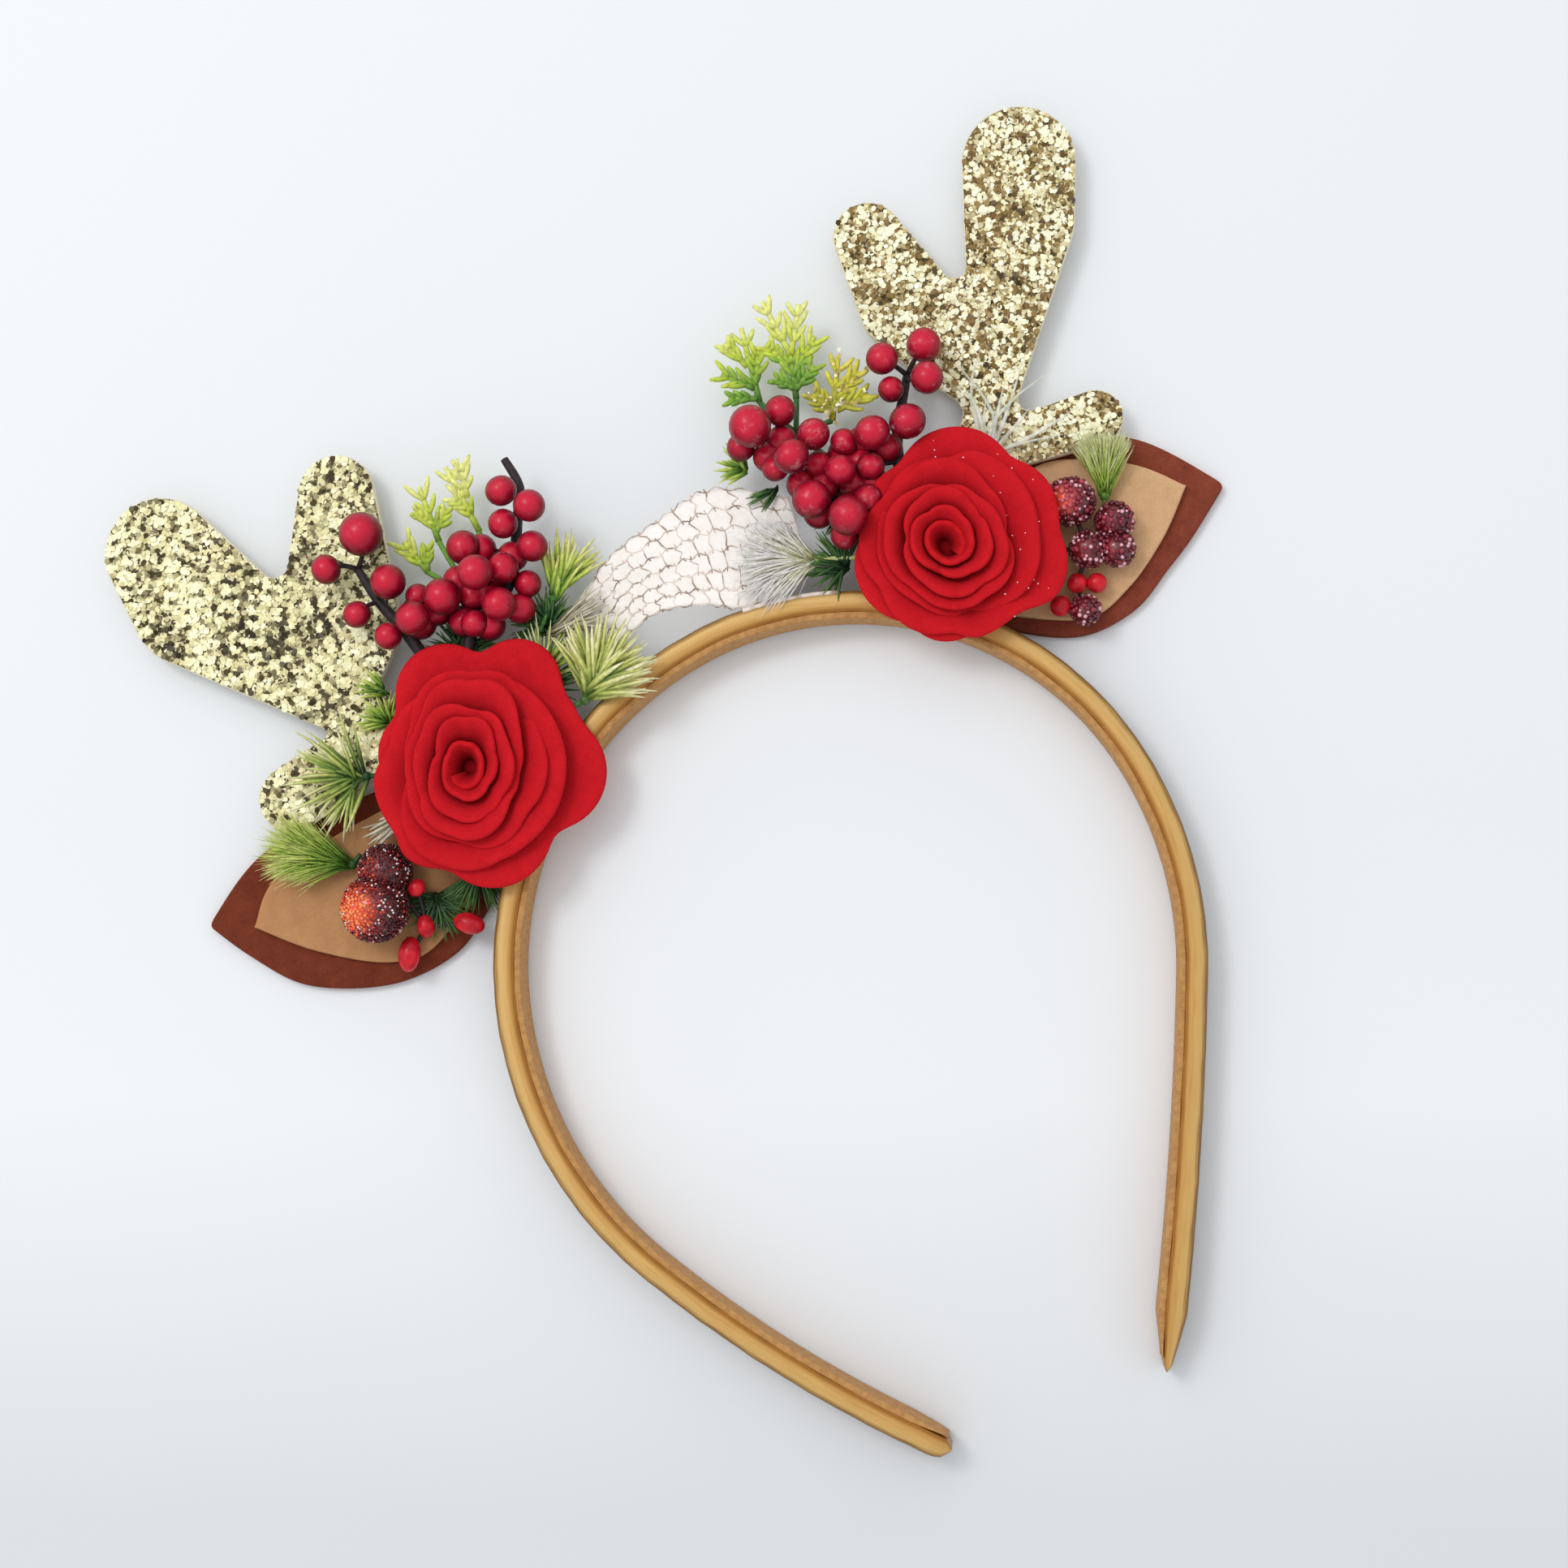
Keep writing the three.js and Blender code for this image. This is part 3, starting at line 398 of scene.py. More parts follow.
# Each ear's felt tones are set to how that ear is lit, so the two sides are lit and shaded copies
# of one felt: painted light makes the right ear lighter than the left.
BROWN_AS_LIT = {"left": ((0.21, 0.046, 0.022, 1), (0.125, 0.024, 0.012, 1)),
         "right": ((0.28, 0.066, 0.036, 1), (0.16, 0.032, 0.018, 1))}
TAN_AS_LIT = {"left": ((0.55, 0.28, 0.125, 1), (0.42, 0.21, 0.093, 1)),
       "right": ((0.74, 0.45, 0.245, 1), (0.58, 0.345, 0.18, 1))}


def through(knots, steps):
    """Smooth line through knots: on each stretch a cubic whose slope at a knot is half the way
    from the knot before it to the one after."""
    knots = np.asarray(knots, float)
    padded = np.concatenate([knots[:1], knots, knots[-1:]])
    slope = (padded[2:] - padded[:-2]) / 2
    t = np.linspace(0, 1, steps, endpoint=False)[None, :, None]
    a, b, da, db = (side[:, None] for side in (knots[:-1], knots[1:], slope[:-1], slope[1:]))
    cubic = (2 * a - 2 * b + da + db) * t**3 + (3 * b - 3 * a - 2 * da - db) * t**2 + da * t + a
    return np.concatenate([cubic.reshape(-1, knots.shape[1]), knots[-1:]])


def normed(ways):
    """Ways brought to a length of 1."""
    return ways / np.maximum(np.linalg.norm(ways, axis=-1, keepdims=True), 1e-9)


def felt_sheet(outline, low, high, rounding, steps=5):
    """A flat cut sheet: its outline, anticlockwise, set inwards by a quarter arc at the foot and at
    the top, less so by a sharp tip, with flat faces closing it. Returns points and faces."""
    x, y = outline.T
    if (x * np.roll(y, -1) - np.roll(x, -1) * y).sum() < 0:
        outline = outline[::-1]
    ahead = np.roll(outline, -1, axis=0) - np.roll(outline, 1, axis=0)
    inwards = normed(np.column_stack([-ahead[:, 1], ahead[:, 0]]))
    onwards = normed(np.roll(outline, -1, axis=0) - outline)
    tips = outline[(onwards * np.roll(onwards, 1, axis=0)).sum(axis=1) < 0.8]
    if len(tips):
        off = np.linalg.norm(outline[:, None] - tips, axis=2).min(axis=1)
        inwards *= np.clip(0.15 + off / 2, 0, 1)[:, None]
    quarter = np.linspace(0, math.pi / 2, steps)
    inset = rounding * (1 - np.concatenate([np.sin(quarter), np.cos(quarter)]))
    level = np.concatenate([low + rounding * (1 - np.cos(quarter)),
                            high - rounding * (1 - np.sin(quarter))])
    plan = outline + inset[:, None, None] * inwards
    height = np.broadcast_to(level[:, None, None], plan.shape[:2] + (1,))
    return np.concatenate([plan, height], axis=-1), ring_faces(len(level), len(outline))


def lay_cut(name, outline, levels, rounding, finish, slot, node):
    """A cut sheet laid flat on the hoop, for one CAD node. Returns its points."""
    points, faces = felt_sheet(outline, *levels, rounding)
    piece = add_piece(name, points, faces, finish, slot, [node])
    return points


felt = bpy.data.node_groups.new("pressed_felt", "ShaderNodeTree")
for name, kind, way in (("Light", "NodeSocketColor", "INPUT"), ("Deep", "NodeSocketColor", "INPUT"),
                        ("Colour", "NodeSocketColor", "OUTPUT"),
                        ("Height", "NodeSocketFloat", "OUTPUT")):
    felt.interface.new_socket(name=name, in_out=way, socket_type=kind)
given, made = felt.nodes.new("NodeGroupInput"), felt.nodes.new("NodeGroupOutput")
fibres = speckle(felt, 1500, 7, Roughness=0.72, Distortion=1.6)
fibres = reckon(felt, "MULTIPLY", fibres, 1 - CLUMPED)
wool = reckon(felt, "MULTIPLY_ADD", speckle(felt, 330, 4), CLUMPED, fibres)
colour = mixed(felt, remap(felt, wool, 0.34, 0.64), given.outputs["Deep"], given.outputs["Light"])
felt.links.new(colour, made.inputs["Colour"])
felt.links.new(wool, made.inputs["Height"])


def felt_finish(name, light, deep, relief=0.0003, fold_shade=None):
    """Matt fibrous finish with a soft sheen, from the pressed felt group. Fold shade is painted
    shade: it darkens the felt where it lies deep between layers, by the mark of how open each point
    is."""
    finish, tree = new_finish(name, {"Roughness": 0.94, "Specular IOR Level": 0.1,
                                     "Sheen Weight": 0.2, "Sheen Roughness": 0.6,
                                     "Sheen Tint": light})
    wool = place(tree, "Group", {"Light": light, "Deep": deep}, node_tree=felt)
    colour = wool.outputs["Colour"]
    if fold_shade:
        tone = ramp(tree, read_mark(tree, "opened"), fold_shade)
        colour = mixed(tree, 1.0, colour, tone, blend_type="MULTIPLY")
    feed(tree, "Base Color", colour)
    emboss(tree, wool.outputs["Height"], 0.55, relief)
    return finish


# One lit and one shaded copy of each felt, a painted difference in light between the ears.
brown_felt = {side: felt_finish(f"brown_felt_{side}", *shades) for side, shades in BROWN_AS_LIT.items()}
tan_felt = {side: felt_finish(f"tan_felt_{side}", *shades) for side, shades in TAN_AS_LIT.items()}
for node, (upper, lower) in EAR_EDGES.items():
    inner = node.endswith("inner")
    edge = np.concatenate([through(upper, EDGE_STEPS)[:-1],
                           through([upper[-1], *lower], EDGE_STEPS)])
    if not inner:
        # A running mean rounds the tips of the outer felt.
        edge = sum(np.roll(edge, step, axis=0) for step in (-2, -1, 0, 1, 2)) / 5
    side = node.split("_")[1]
    if inner:
        lay_cut(node + "_felt", edge, EAR_INNER_Z, FELT_ROUND, tan_felt[side], "tan_felt", node)
    else:
        lay_cut(node + "_felt", edge, EAR_FELT_Z, FELT_ROUND, brown_felt[side], "brown_felt", node)


# Each antler is cut from a foam sheet: cream felt with coarse gold glitter on its face. Loose
# hexagonal flakes stand at all angles in the glue.
ANTLER_DISCS = {
    "left": [(-42.9, -10.3, 5), (-52.5, 17, -3), (-54, 29, 7), (-49, 53.5, 7), (-64.5, 46.5, -2.5),
             (-83, 57.5, 10.2), (-81.5, 46, 11), (-69, 14.5, -1), (-78.5, 6, 6), (-60, -1, -4.5)],
    "right": [(44.7, -8.2, 5), (60, 1, -4.5), (80, 7, 5), (71, 15, -2), (83, 45, 9.8),
              (87.5, 55, 10.2), (69, 42.5, -2), (57.5, 54.5, 6.2), (58, 40, 8), (61, 30, 6.5),
              (56.5, 19, -3)],
}
ANTLER_Z = (3.8, 5.8)
ANTLER_ROUND = 0.45
FLAKES = {"left": 5600, "right": 4300}
FLAKE_RADIUS, FLAKE_LIFTS = (0.34, 0.62), (0.02, 0.22)
FLAKE_THICK, FLAKE_TILT, FLAKE_SIDES = 0.05, 0.2, 6
CREAM = (0.80, 0.74, 0.55, 1)
# The glue's cells run from dark to cream: glitter of the glitter's own tones, with the darkest
# partly painted shade between the flakes.
GLUE_STOPS = {
    "left": [(0.0, (0.03, 0.020, 0.006, 1)), (0.35, (0.12, 0.085, 0.022, 1)),
             (0.5, (0.80, 0.73, 0.40, 1)), (1.0, (0.98, 0.94, 0.64, 1))],
    "right": [(0.0, (0.05, 0.030, 0.008, 1)), (0.45, (0.22, 0.13, 0.036, 1)),
              (0.65, (0.60, 0.46, 0.18, 1)), (1.0, (0.92, 0.84, 0.48, 1))],
}
# The flakes' tints mix the glitter's own dark, gold and cream flakes with painted light: the cream
# clumps are painted glints of flakes that would catch the light, and the dark worm-like runs are
# partly painted shade between the flakes.
FLAKE_TONES_AND_GLINTS = {
    "left": ((0.025, 0.018, 0.003, 1), (0.07, 0.048, 0.008, 1), (0.84, 0.76, 0.40, 1),
             (0.99, 0.94, 0.58, 1), (1.0, 0.97, 0.66, 1)),
    "right": ((0.05, 0.030, 0.006, 1), (0.17, 0.10, 0.024, 1), (0.32, 0.205, 0.06, 1),
              (0.98, 0.92, 0.58, 1), (1.0, 0.98, 0.74, 1)),
}
FLAKE_MIDDLE = {"left": (0.25, 0.06), "right": (0.48, 0.25)}
WORM_SIZE, WORM_DEPTH = 5.2, {"left": 0.37, "right": 0.26}
GLINT_PATCH_SIZES = {"left": ((2.6, 0.13), (14, 0.05)), "right": ((2.6, 0.12), (9, 0.11))}


def belt(discs, steps=16):
    """Outline that runs round discs in turn like a belt: an arc on each disc between the straight
    stretches, which leave at the heading of the common tangent. A negative radius is an inner
    corner, rounded the other way."""
    x, y, radius = np.array(discs, float).T
    dx, dy = np.roll(x, -1) - x, np.roll(y, -1) - y
    leave = np.arctan2(dy, dx) + np.arcsin((radius - np.roll(radius, -1)) / np.hypot(dx, dy))
    arrive = np.roll(leave, 1)
    way = np.sign(radius)
    sweep = way * np.mod(way * (leave - arrive), 2 * math.pi)
    angle = (arrive - way * math.pi / 2)[:, None] + sweep[:, None] * np.linspace(0, 1, steps)
    plan = np.stack([np.cos(angle), np.sin(angle)], axis=-1) * np.abs(radius)[:, None, None]
    return (plan + np.stack([x, y], axis=-1)[:, None]).reshape(-1, 2)


def inside(points, outline):
    """Which points lie in a closed outline: an odd number of its edges pass to their right."""
    x, y = points.T[:, :, None]
    ax, ay = outline.T[:, None, :]
    bx, by = np.roll(outline, -1, axis=0).T[:, None, :]
    spans = (ay > y) != (by > y)
    crossing = ax + (y - ay) / np.where(by == ay, 1, by - ay) * (bx - ax)
    return (spans & (x < crossing)).sum(axis=1) % 2 == 1


def quads_over(index, beside):
    """Quads on grids of point numbers: each point, the next one along, and the two beside them."""
    corners = [index[..., :-1, :], index[..., 1:, :], beside[..., 1:, :], beside[..., :-1, :]]
    return np.stack(corners, axis=-1).reshape(-1, 4)


def tubes(paths, radii, sides, flat=1.0, roll=None):
    """Closed tubes along many paths at once: each ring is a circle of its radius in the plane
    across the path, squeezed by flat and turned by roll, and the ends are flat caps."""
    paths = np.asarray(paths, float)
    count, rings = paths.shape[:2]
    ahead = normed(np.gradient(paths, axis=1))
    level = np.where(np.abs(ahead[..., 2:]) < 0.9, (0.0, 0.0, 1.0), (1.0, 0.0, 0.0))
    across = normed(np.cross(ahead, level))
    rise = np.cross(across, ahead)
    turn = np.zeros(count) if roll is None else roll
    turn = turn[:, None, None, None] + 2 * math.pi * np.arange(sides)[:, None] / sides
    ring = across[:, :, None] * np.cos(turn) + flat * rise[:, :, None] * np.sin(turn)
    radii = np.broadcast_to(radii, (count, rings))
    points = paths[:, :, None] + radii[:, :, None, None] * ring
    index = np.arange(count * rings * sides).reshape(count, rings, sides)
    quads = quads_over(index, np.roll(index, -1, axis=2))
    return points.reshape(-1, 3), [quads, index[:, 0], index[:, -1, ::-1]]


def glitter_finish(name, glue):
    """Glue speckled in small cells of glitter tones on the face; bare cream foam at the edge."""
    finish, tree = new_finish(name, {"Roughness": 0.5, "Metallic": 0.15})
    where = place(tree, "TexCoord").outputs["Object"]
    cells = place(tree, "TexVoronoi", {"Vector": where, "Scale": 1900.0})
    tint = place(tree, "SeparateColor", {"Color": cells.outputs["Color"]}).outputs[0]
    facing = place(tree, "SeparateXYZ", {0: place(tree, "NewGeometry").outputs["Normal"]})
    on_face = remap(tree, facing.outputs["Z"], 0.75, 0.9)
    feed(tree, "Base Color", mixed(tree, on_face, CREAM, ramp(tree, tint, glue)))
    emboss(tree, cells.outputs["Distance"], 0.6, 0.0003)
    return finish


def patches(draw, spots, size):
    """Uneven field over the plan, about 0 with a spread of 1: waves of one length, all ways."""
    way = 2 * math.pi * draw.random(24)
    waves = 2 * math.pi / size * np.stack([np.cos(way), np.sin(way)])
    return np.cos(spots @ waves + 2 * math.pi * draw.random(24)).sum(axis=1) / math.sqrt(12)


def tones(share, stops):
    """Colours of an array of 0 to 1 shares, in straight runs between even stops."""
    at = np.linspace(0, 1, len(stops))
    return np.stack([np.interp(share, at, [stop[k] for stop in stops]) for k in range(4)], axis=-1)


def tinted(name, sockets, scale, detail, shades, within=(0.0, 1.0), relief=None):
    """A finish in each point's own tint, made darker and lighter between two shades by the noise
    that lies within a range, which may also raise it by a strength and a depth."""
    finish, tree = new_finish(name, sockets)
    noise = speckle(tree, scale, detail)
    shade = remap(tree, noise, *within, *shades)
    tint = place(tree, "Attribute", attribute_name="tint").outputs["Color"]
    colour = place(tree, "VectorMath", {0: tint, 1: shade}, operation="MULTIPLY")
    feed(tree, "Base Color", colour.outputs[0])
    if relief:
        emboss(tree, noise, *relief)
    return finish


flake = tinted("gold_flake", {"Roughness": 0.35, "Metallic": 0.08, "Specular IOR Level": 0.3},
               2500, 2, (0.85, 1.1))
for seed, (side, discs) in enumerate(ANTLER_DISCS.items()):
    glitter = glitter_finish(f"glitter_{side}", GLUE_STOPS[side])
    points = lay_cut(f"antler_{side}_sheet", belt(discs), ANTLER_Z, ANTLER_ROUND, glitter,
                     "glitter", f"antler_{side}")
    draw = np.random.default_rng(20 + seed)
    face = points[-1, :, :2]
    low, high = face.min(axis=0), face.max(axis=0)
    spots = low + draw.random((4 * FLAKES[side], 2)) * (high - low)
    spots = spots[inside(spots, face)][: FLAKES[side]]
    count = len(spots)
    tilt = FLAKE_TILT * draw.normal(size=(count, 2)).clip(-1.5, 1.5)
    normal = normed(np.column_stack([tilt, np.ones(count)]))
    radius = draw.uniform(*FLAKE_RADIUS, count)
    lift = ANTLER_Z[1] + FLAKE_LIFTS[0] + FLAKE_LIFTS[1] * draw.random(count)
    foot = np.column_stack([spots, lift])
    paths = np.stack([foot, foot + FLAKE_THICK * normal], axis=1)
    middle, spread = FLAKE_MIDDLE[side]
    # Painted glints and shade: each flake's level is its random tone plus the worm-like runs and
    # the glint clumps.
    level = middle + spread * draw.normal(size=count)
    level = level + WORM_DEPTH[side] * np.abs(patches(draw, spots, WORM_SIZE))
    level = level + sum(weight * patches(draw, spots, size) for size, weight in GLINT_PATCH_SIZES[side])
    flakes = tubes(paths, radius[:, None], FLAKE_SIDES, roll=draw.random(count) * math.pi)
    tint = np.repeat(tones(level, FLAKE_TONES_AND_GLINTS[side]), 2 * FLAKE_SIDES, axis=0)
    add_piece(f"antler_{side}_flakes", *flakes, flake, "glitter", marks={"tint": tint},
              smooth=False)


# Each rose is a scalloped strip of red felt, rolled from its heart into a spiral and glued to a
# round felt base. The outer turn opens into broad petals.
ROSE_PLACES = {"left": (-45.6, -4, 188, 0.07, 0.13, 65, 2.5, -28),
               "right": (46.2, -3.8, 288, 0.06, 0.07, 100, 0.8, -60)}
ROSE_PETALS = {
    "left": [(8, 21.4, 9), (38, 25.2, 8.2), (85, 23.2, 9.2), (146, 17.6, 10.5), (208, 19.6, 10.5),
             (267, 22, 10.5), (333, 24, 10.5)],
    "right": [(150, 15.2, 10.5), (112, 17, 10.5), (56, 21.5, 10.5), (4, 21, 10.5),
              (320, 21.6, 10.5), (260, 17.6, 10.5), (184, 16.8, 10.5)],
}
ROSE_TURNS, ROSE_STEPS, ROSE_ROWS = 7, 60, 11
ROSE_WALL, ROSE_CORE, BASE_SIDES = 0.95, 12, 40
ROSE_HEART, HEART_FOOT, ROSE_FOOT, ROSE_FLOOR = 3.5, 1.0, 10.1, 9.6
HEART_TOP, CREST_TOP, RIM_TOP = 16.4, 19.4, 12.6
ROLLED_SPREAD, ROLLED_POWER = 0.75, 0.72
HALF_SPREAD, HALF_MOST = 0.91, 17.4
PETALS_A_TURN, HEART_LIFT, RIM_EVENED, RIM_SWUNG = 2.6, 2.4, 0.45, 0.55
SCALLOP_DEEP, SCALLOP_UNEVEN, SCALLOP_DROP, ROLL_OVER, TUCKED = 0.14, 0.06, 2.2, 0.16, 0.14
# Painted shade between the rose's layers: the felt is darkened towards the foot of each turn, where
# shade falls deep in the roll.
FOLD_PAINTED_SHADE = [(0.2, (0.40, 0.28, 0.40, 1)), (0.7, (0.84, 0.76, 0.84, 1)),
              (0.92, (1, 1, 1, 1))]
ROSE_BASE = [(0.01, 6.1), (9.6, 6.1), (9.8, 6.3), (9.8, 9.2), (11.2, 9.4), (11.2, 9.8), (2.6, 10.4),
             (1.6, 11.6), (0.01, 11.9)]
ROSE_RED = ((0.66, 0.012, 0.020, 1), (0.50, 0.008, 0.014, 1))


def ease_step(value, low, high):
    """Smooth step from 0 at low to 1 at high."""
    t = np.clip((value - low) / (high - low), 0, 1)
    return t * t * (3 - 2 * t)


def rim_reach(petals, angle):
    """Distance from the rose's middle to its rim in each direction: the farthest petal disc."""
    turn, reach, disc = np.array(petals, float).T
    away = reach - disc
    off = angle[..., None] - np.radians(turn)
    within = disc**2 - (away * np.sin(off)) ** 2
    hit = away * np.cos(off) + np.sqrt(np.maximum(within, 0))
    return np.maximum(np.where(within < 0, 0, hit).max(axis=-1), ROSE_CORE)


def polar(angle, radius, height):
    """Points at an angle, a distance and a height from the middle."""
    spots = radius * np.cos(angle), radius * np.sin(angle), height + 0 * angle
    return np.stack(np.broadcast_arrays(*spots), axis=-1)


def rolled_strip(x, y, first, unfurl, oval, axis, droop, droop_way, petals):
    """Middle surface of the rolled strip: along it the angle turns evenly and its foot winds out;
    across it the felt rises from the foot, leans out and rolls over at its scalloped edge. The
    last two turns open, the one before last half way and the last one right out. The rolled core
    is drawn out a little into an oval along its axis, and the petals on one side hang lower."""
    share = np.linspace(0, 1, int(ROSE_TURNS * ROSE_STEPS) + 1)[:, None]
    across = np.linspace(0, 1, ROSE_ROWS)[None, :]
    turn = share * ROSE_TURNS
    angle = math.radians(first) + 2 * math.pi * turn
    core, last = ROSE_TURNS - 2, ROSE_TURNS - 1
    half = ease_step(turn - core, 0, 0.3)
    opened = ease_step(turn - last, 0, unfurl)
    lobe = np.abs(np.sin(PETALS_A_TURN * math.pi * turn + 0.6)) ** 0.5
    rim = rim_reach(petals, angle)
    turned_rim = rim_reach(petals, angle + RIM_SWUNG)
    even = rim.mean() + RIM_EVENED * (rim - rim.mean())
    rolled = even * ROLLED_SPREAD * (np.minimum(turn, core) / core) ** ROLLED_POWER
    reach = rolled + (np.minimum(HALF_SPREAD * turned_rim, HALF_MOST) - rolled) * half
    reach = reach + (rim - reach) * opened
    reach = reach * (1 - TUCKED * ease_step(turn, ROSE_TURNS - 0.16, ROSE_TURNS))
    scallop = (1 - half) * ease_step(turn, 0.7, 2)
    uneven = SCALLOP_UNEVEN * scallop * np.sin(2.74 * math.pi * turn + 1)
    uneven = uneven + SCALLOP_DEEP * scallop * (lobe - 0.7)
    crest = np.maximum(reach * (1 + uneven), ROSE_HEART)
    top = HEART_TOP + (CREST_TOP - HEART_TOP) * ease_step(share, 0, 0.3)
    top = top + (RIM_TOP - top) * ease_step(share, 0.35, 1)
    top = top - SCALLOP_DROP * scallop * (1 - lobe) + 0.5 * half * (1 - opened)
    low_side = np.clip(np.cos(angle - math.radians(droop_way)), 0, 1) ** 1.5
    top = top - droop * opened * low_side
    foot = HEART_FOOT + (ROSE_FOOT - HEART_FOOT) * share
    lean = 1.3 + 0.5 * half
    roll_over = ROLL_OVER * ease_step(across, 0.74, 1) * ease_step(turn, 0.8, 2.5)
    rise = 1 - (1 - across) ** (1.1 + 0.5 * half + 0.4 * opened)
    radius = foot + (crest - foot) * across**lean
    radius = radius * (1 + oval * (1 - half) * np.cos(2 * (angle - math.radians(axis))))
    low = ROSE_FLOOR + HEART_LIFT * (1 - ease_step(turn, 1, core + 1))
    height = low + (top - low) * (rise - roll_over)
    wave = 0.5 * half * across**2 * np.sin(4 * angle + 1) + 0.15 * across * np.sin(9 * angle)
    return polar(angle, radius, height + wave) + (x, y, 0)


def grid_faces(rows, columns):
    """Quads over an open grid of points."""
    index = np.arange(rows * columns).reshape(rows, columns)
    return [quads_over(index[:, :-1], index[:, 1:])]


def thicken(piece, thick, levels):
    """Gives a sheet its thickness about its middle, and rounds its edges by subdivision."""
    wall = piece.modifiers.new("thickness", "SOLIDIFY")
    wall.thickness = thick * MM
    wall.offset = 0
    soft = piece.modifiers.new("soft_edges", "SUBSURF")
    soft.levels = soft.render_levels = levels


red_felt = felt_finish("red_felt", *ROSE_RED, 0.00035, FOLD_PAINTED_SHADE)
for side, (x, y, *winding) in ROSE_PLACES.items():
    strip = rolled_strip(x, y, *winding, ROSE_PETALS[side])
    across = np.tile(np.linspace(0, 1, ROSE_ROWS), len(strip))
    rose = add_piece(f"rose_{side}_strip", strip, grid_faces(*strip.shape[:2]), red_felt,
                     "red_felt", [f"rose_{side}"], {"opened": across})
    thicken(rose, ROSE_WALL, 1)
    radius, level = np.array(ROSE_BASE).T[:, :, None]
    angle = 2 * math.pi * np.arange(BASE_SIDES)[None, :] / BASE_SIDES
    disc = polar(angle, radius, level) + (x, y, 0)
    # The base takes a fixed share of the painted fold shade.
    base = add_piece(f"rose_{side}_base", disc, ring_faces(*disc.shape[:2]), red_felt, "red_felt",
                     marks={"opened": np.full(disc.size // 3, 0.4)})


# The berries are lacquered balls on dark wire stems. Each stem branches from behind the rose,
# and a short twig goes to each berry.
BERRY_COUNTS = {"left": 18, "right": 19}
STEM_BRANCHES = {
    "left": ([(-43.5, 6.8, 8.4), (-46.8, 23, 8.4), (-49.2, 31, 8.6), (-50.3, 38, 9)],
             [(-43.5, 6.8, 8.4), (-35.5, 20, 8.2), (-26.5, 24, 8.4), (-20.5, 34, 8.6),
              (-17.8, 39, 9), (-18.2, 44.8, 9.2)]),
    "right": ([(43.8, 6.8, 8.4), (46.2, 17, 8.6), (53, 27.5, 8.8)],
              [(43.8, 6.8, 8.4), (34.5, 11.5, 8.4), (29.5, 22.5, 8.4), (25.5, 28, 8.6)]),
}
STEM_RADIUS, TWIG_RADIUS = 1.25, 0.5
LOW_BERRIES = {"left": [(-30.4, 23.2), (-26.4, 18.8), (-34.6, 28.2), (-23.9, 28), (-36.6, 21.1),
                        (-40.3, 24.9), (-43.8, 23.8), (-32.6, 18.4), (-30.3, 28.8), (-28.6, 31.6),
                        (-27.6, 26.4), (-33.2, 24.6), (-37.8, 27.4)],
               "right": [(31.4, 15.5), (36.3, 13.6), (44.3, 16.9), (32.2, 19.3), (28.1, 26.2),
                         (34, 10.4), (39, 16.8), (28.6, 11.6), (35.4, 6.3), (27.9, 17.5),
                         (40.6, 20), (36.8, 19.4), (39.6, 12.8), (24.6, 24.6)]}
LOW_BERRY_Z, LOW_BERRY_RADIUS = 9.4, 2.75
BERRY_RINGS, BERRY_SIDES, BERRY_UNEVEN = 16, 22, (0.96, 1.03)
BERRY_SHADES, BERRY_PAINTED_TOP_LIGHT, BERRY_TOP_LIGHT_POWER = (-0.05, 0.08), 0.58, 2.2
TWIG_BEND, TWIG_STEPS = (0.5, 0.5, 0.2), 6
# The lacquer runs from a deep red on the berries' sides to a light red on their tops: painted
# light, with a mottle of real tone over it.
BERRY_LIGHT = (0.60, 0.006, 0.036, 1)
BERRY_DEEP = (0.10, 0.0012, 0.008, 1)
BERRY_BLOOM = (0.86, 0.50, 0.53, 1)
BERRY_ICE = {"left": 0.05, "right": 0.22}
STEM_DARK = (0.010, 0.004, 0.007, 1)
STEM_LIGHT = (0.034, 0.014, 0.018, 1)


def balls(centres, frames, rings, sides):
    """Closed balls at centres: latitude rings between two poles on the unit ball, each carried
    through its own 3 by 3 frame of half axes, or a radius."""
    if frames.ndim == 1:
        frames = np.eye(3) * frames[:, None, None]
    lat = math.pi * np.arange(1, rings)[:, None] / rings
    lon = 2 * math.pi * np.arange(sides)[None, :] / sides
    unit = polar(lon, np.sin(lat), np.cos(lat)).reshape(-1, 3)
    unit = np.concatenate([[(0, 0, 1)], unit, [(0, 0, -1)]])
    index = 1 + np.arange((rings - 1) * sides).reshape(rings - 1, sides)
    beside = np.roll(index, -1, axis=1)
    quads = quads_over(index, beside)
    pole = np.zeros(sides, int)
    fan = np.concatenate([np.stack([pole, index[0], beside[0]], axis=-1),
                          np.stack([pole + len(unit) - 1, beside[-1], index[-1]], axis=-1)])
    points = centres[:, None] + np.einsum("kij,vj->kvi", frames, unit)
    shift = len(unit) * np.arange(len(centres))[:, None, None]
    return points.reshape(-1, 3), [(fan + shift).reshape(-1, 3), (quads + shift).reshape(-1, 4)]


def joined(parts):
    """Several closed meshes as one: points in a row, and faces moved on by the points before."""
    points, faces, before = [], [], 0
    for part_points, part_faces in parts:
        points.append(part_points)
        faces.extend(group + before for group in part_faces)
        before += len(part_points)
    return np.concatenate(points), faces


def straight(feet, ends, steps):
    """Even points on straight lines from feet to ends, and their shares of the way."""
    share = np.linspace(0, 1, steps)[:, None]
    feet, ends = (np.asarray(side, float)[..., None, :] for side in (feet, ends))
    return feet + (ends - feet) * share, share


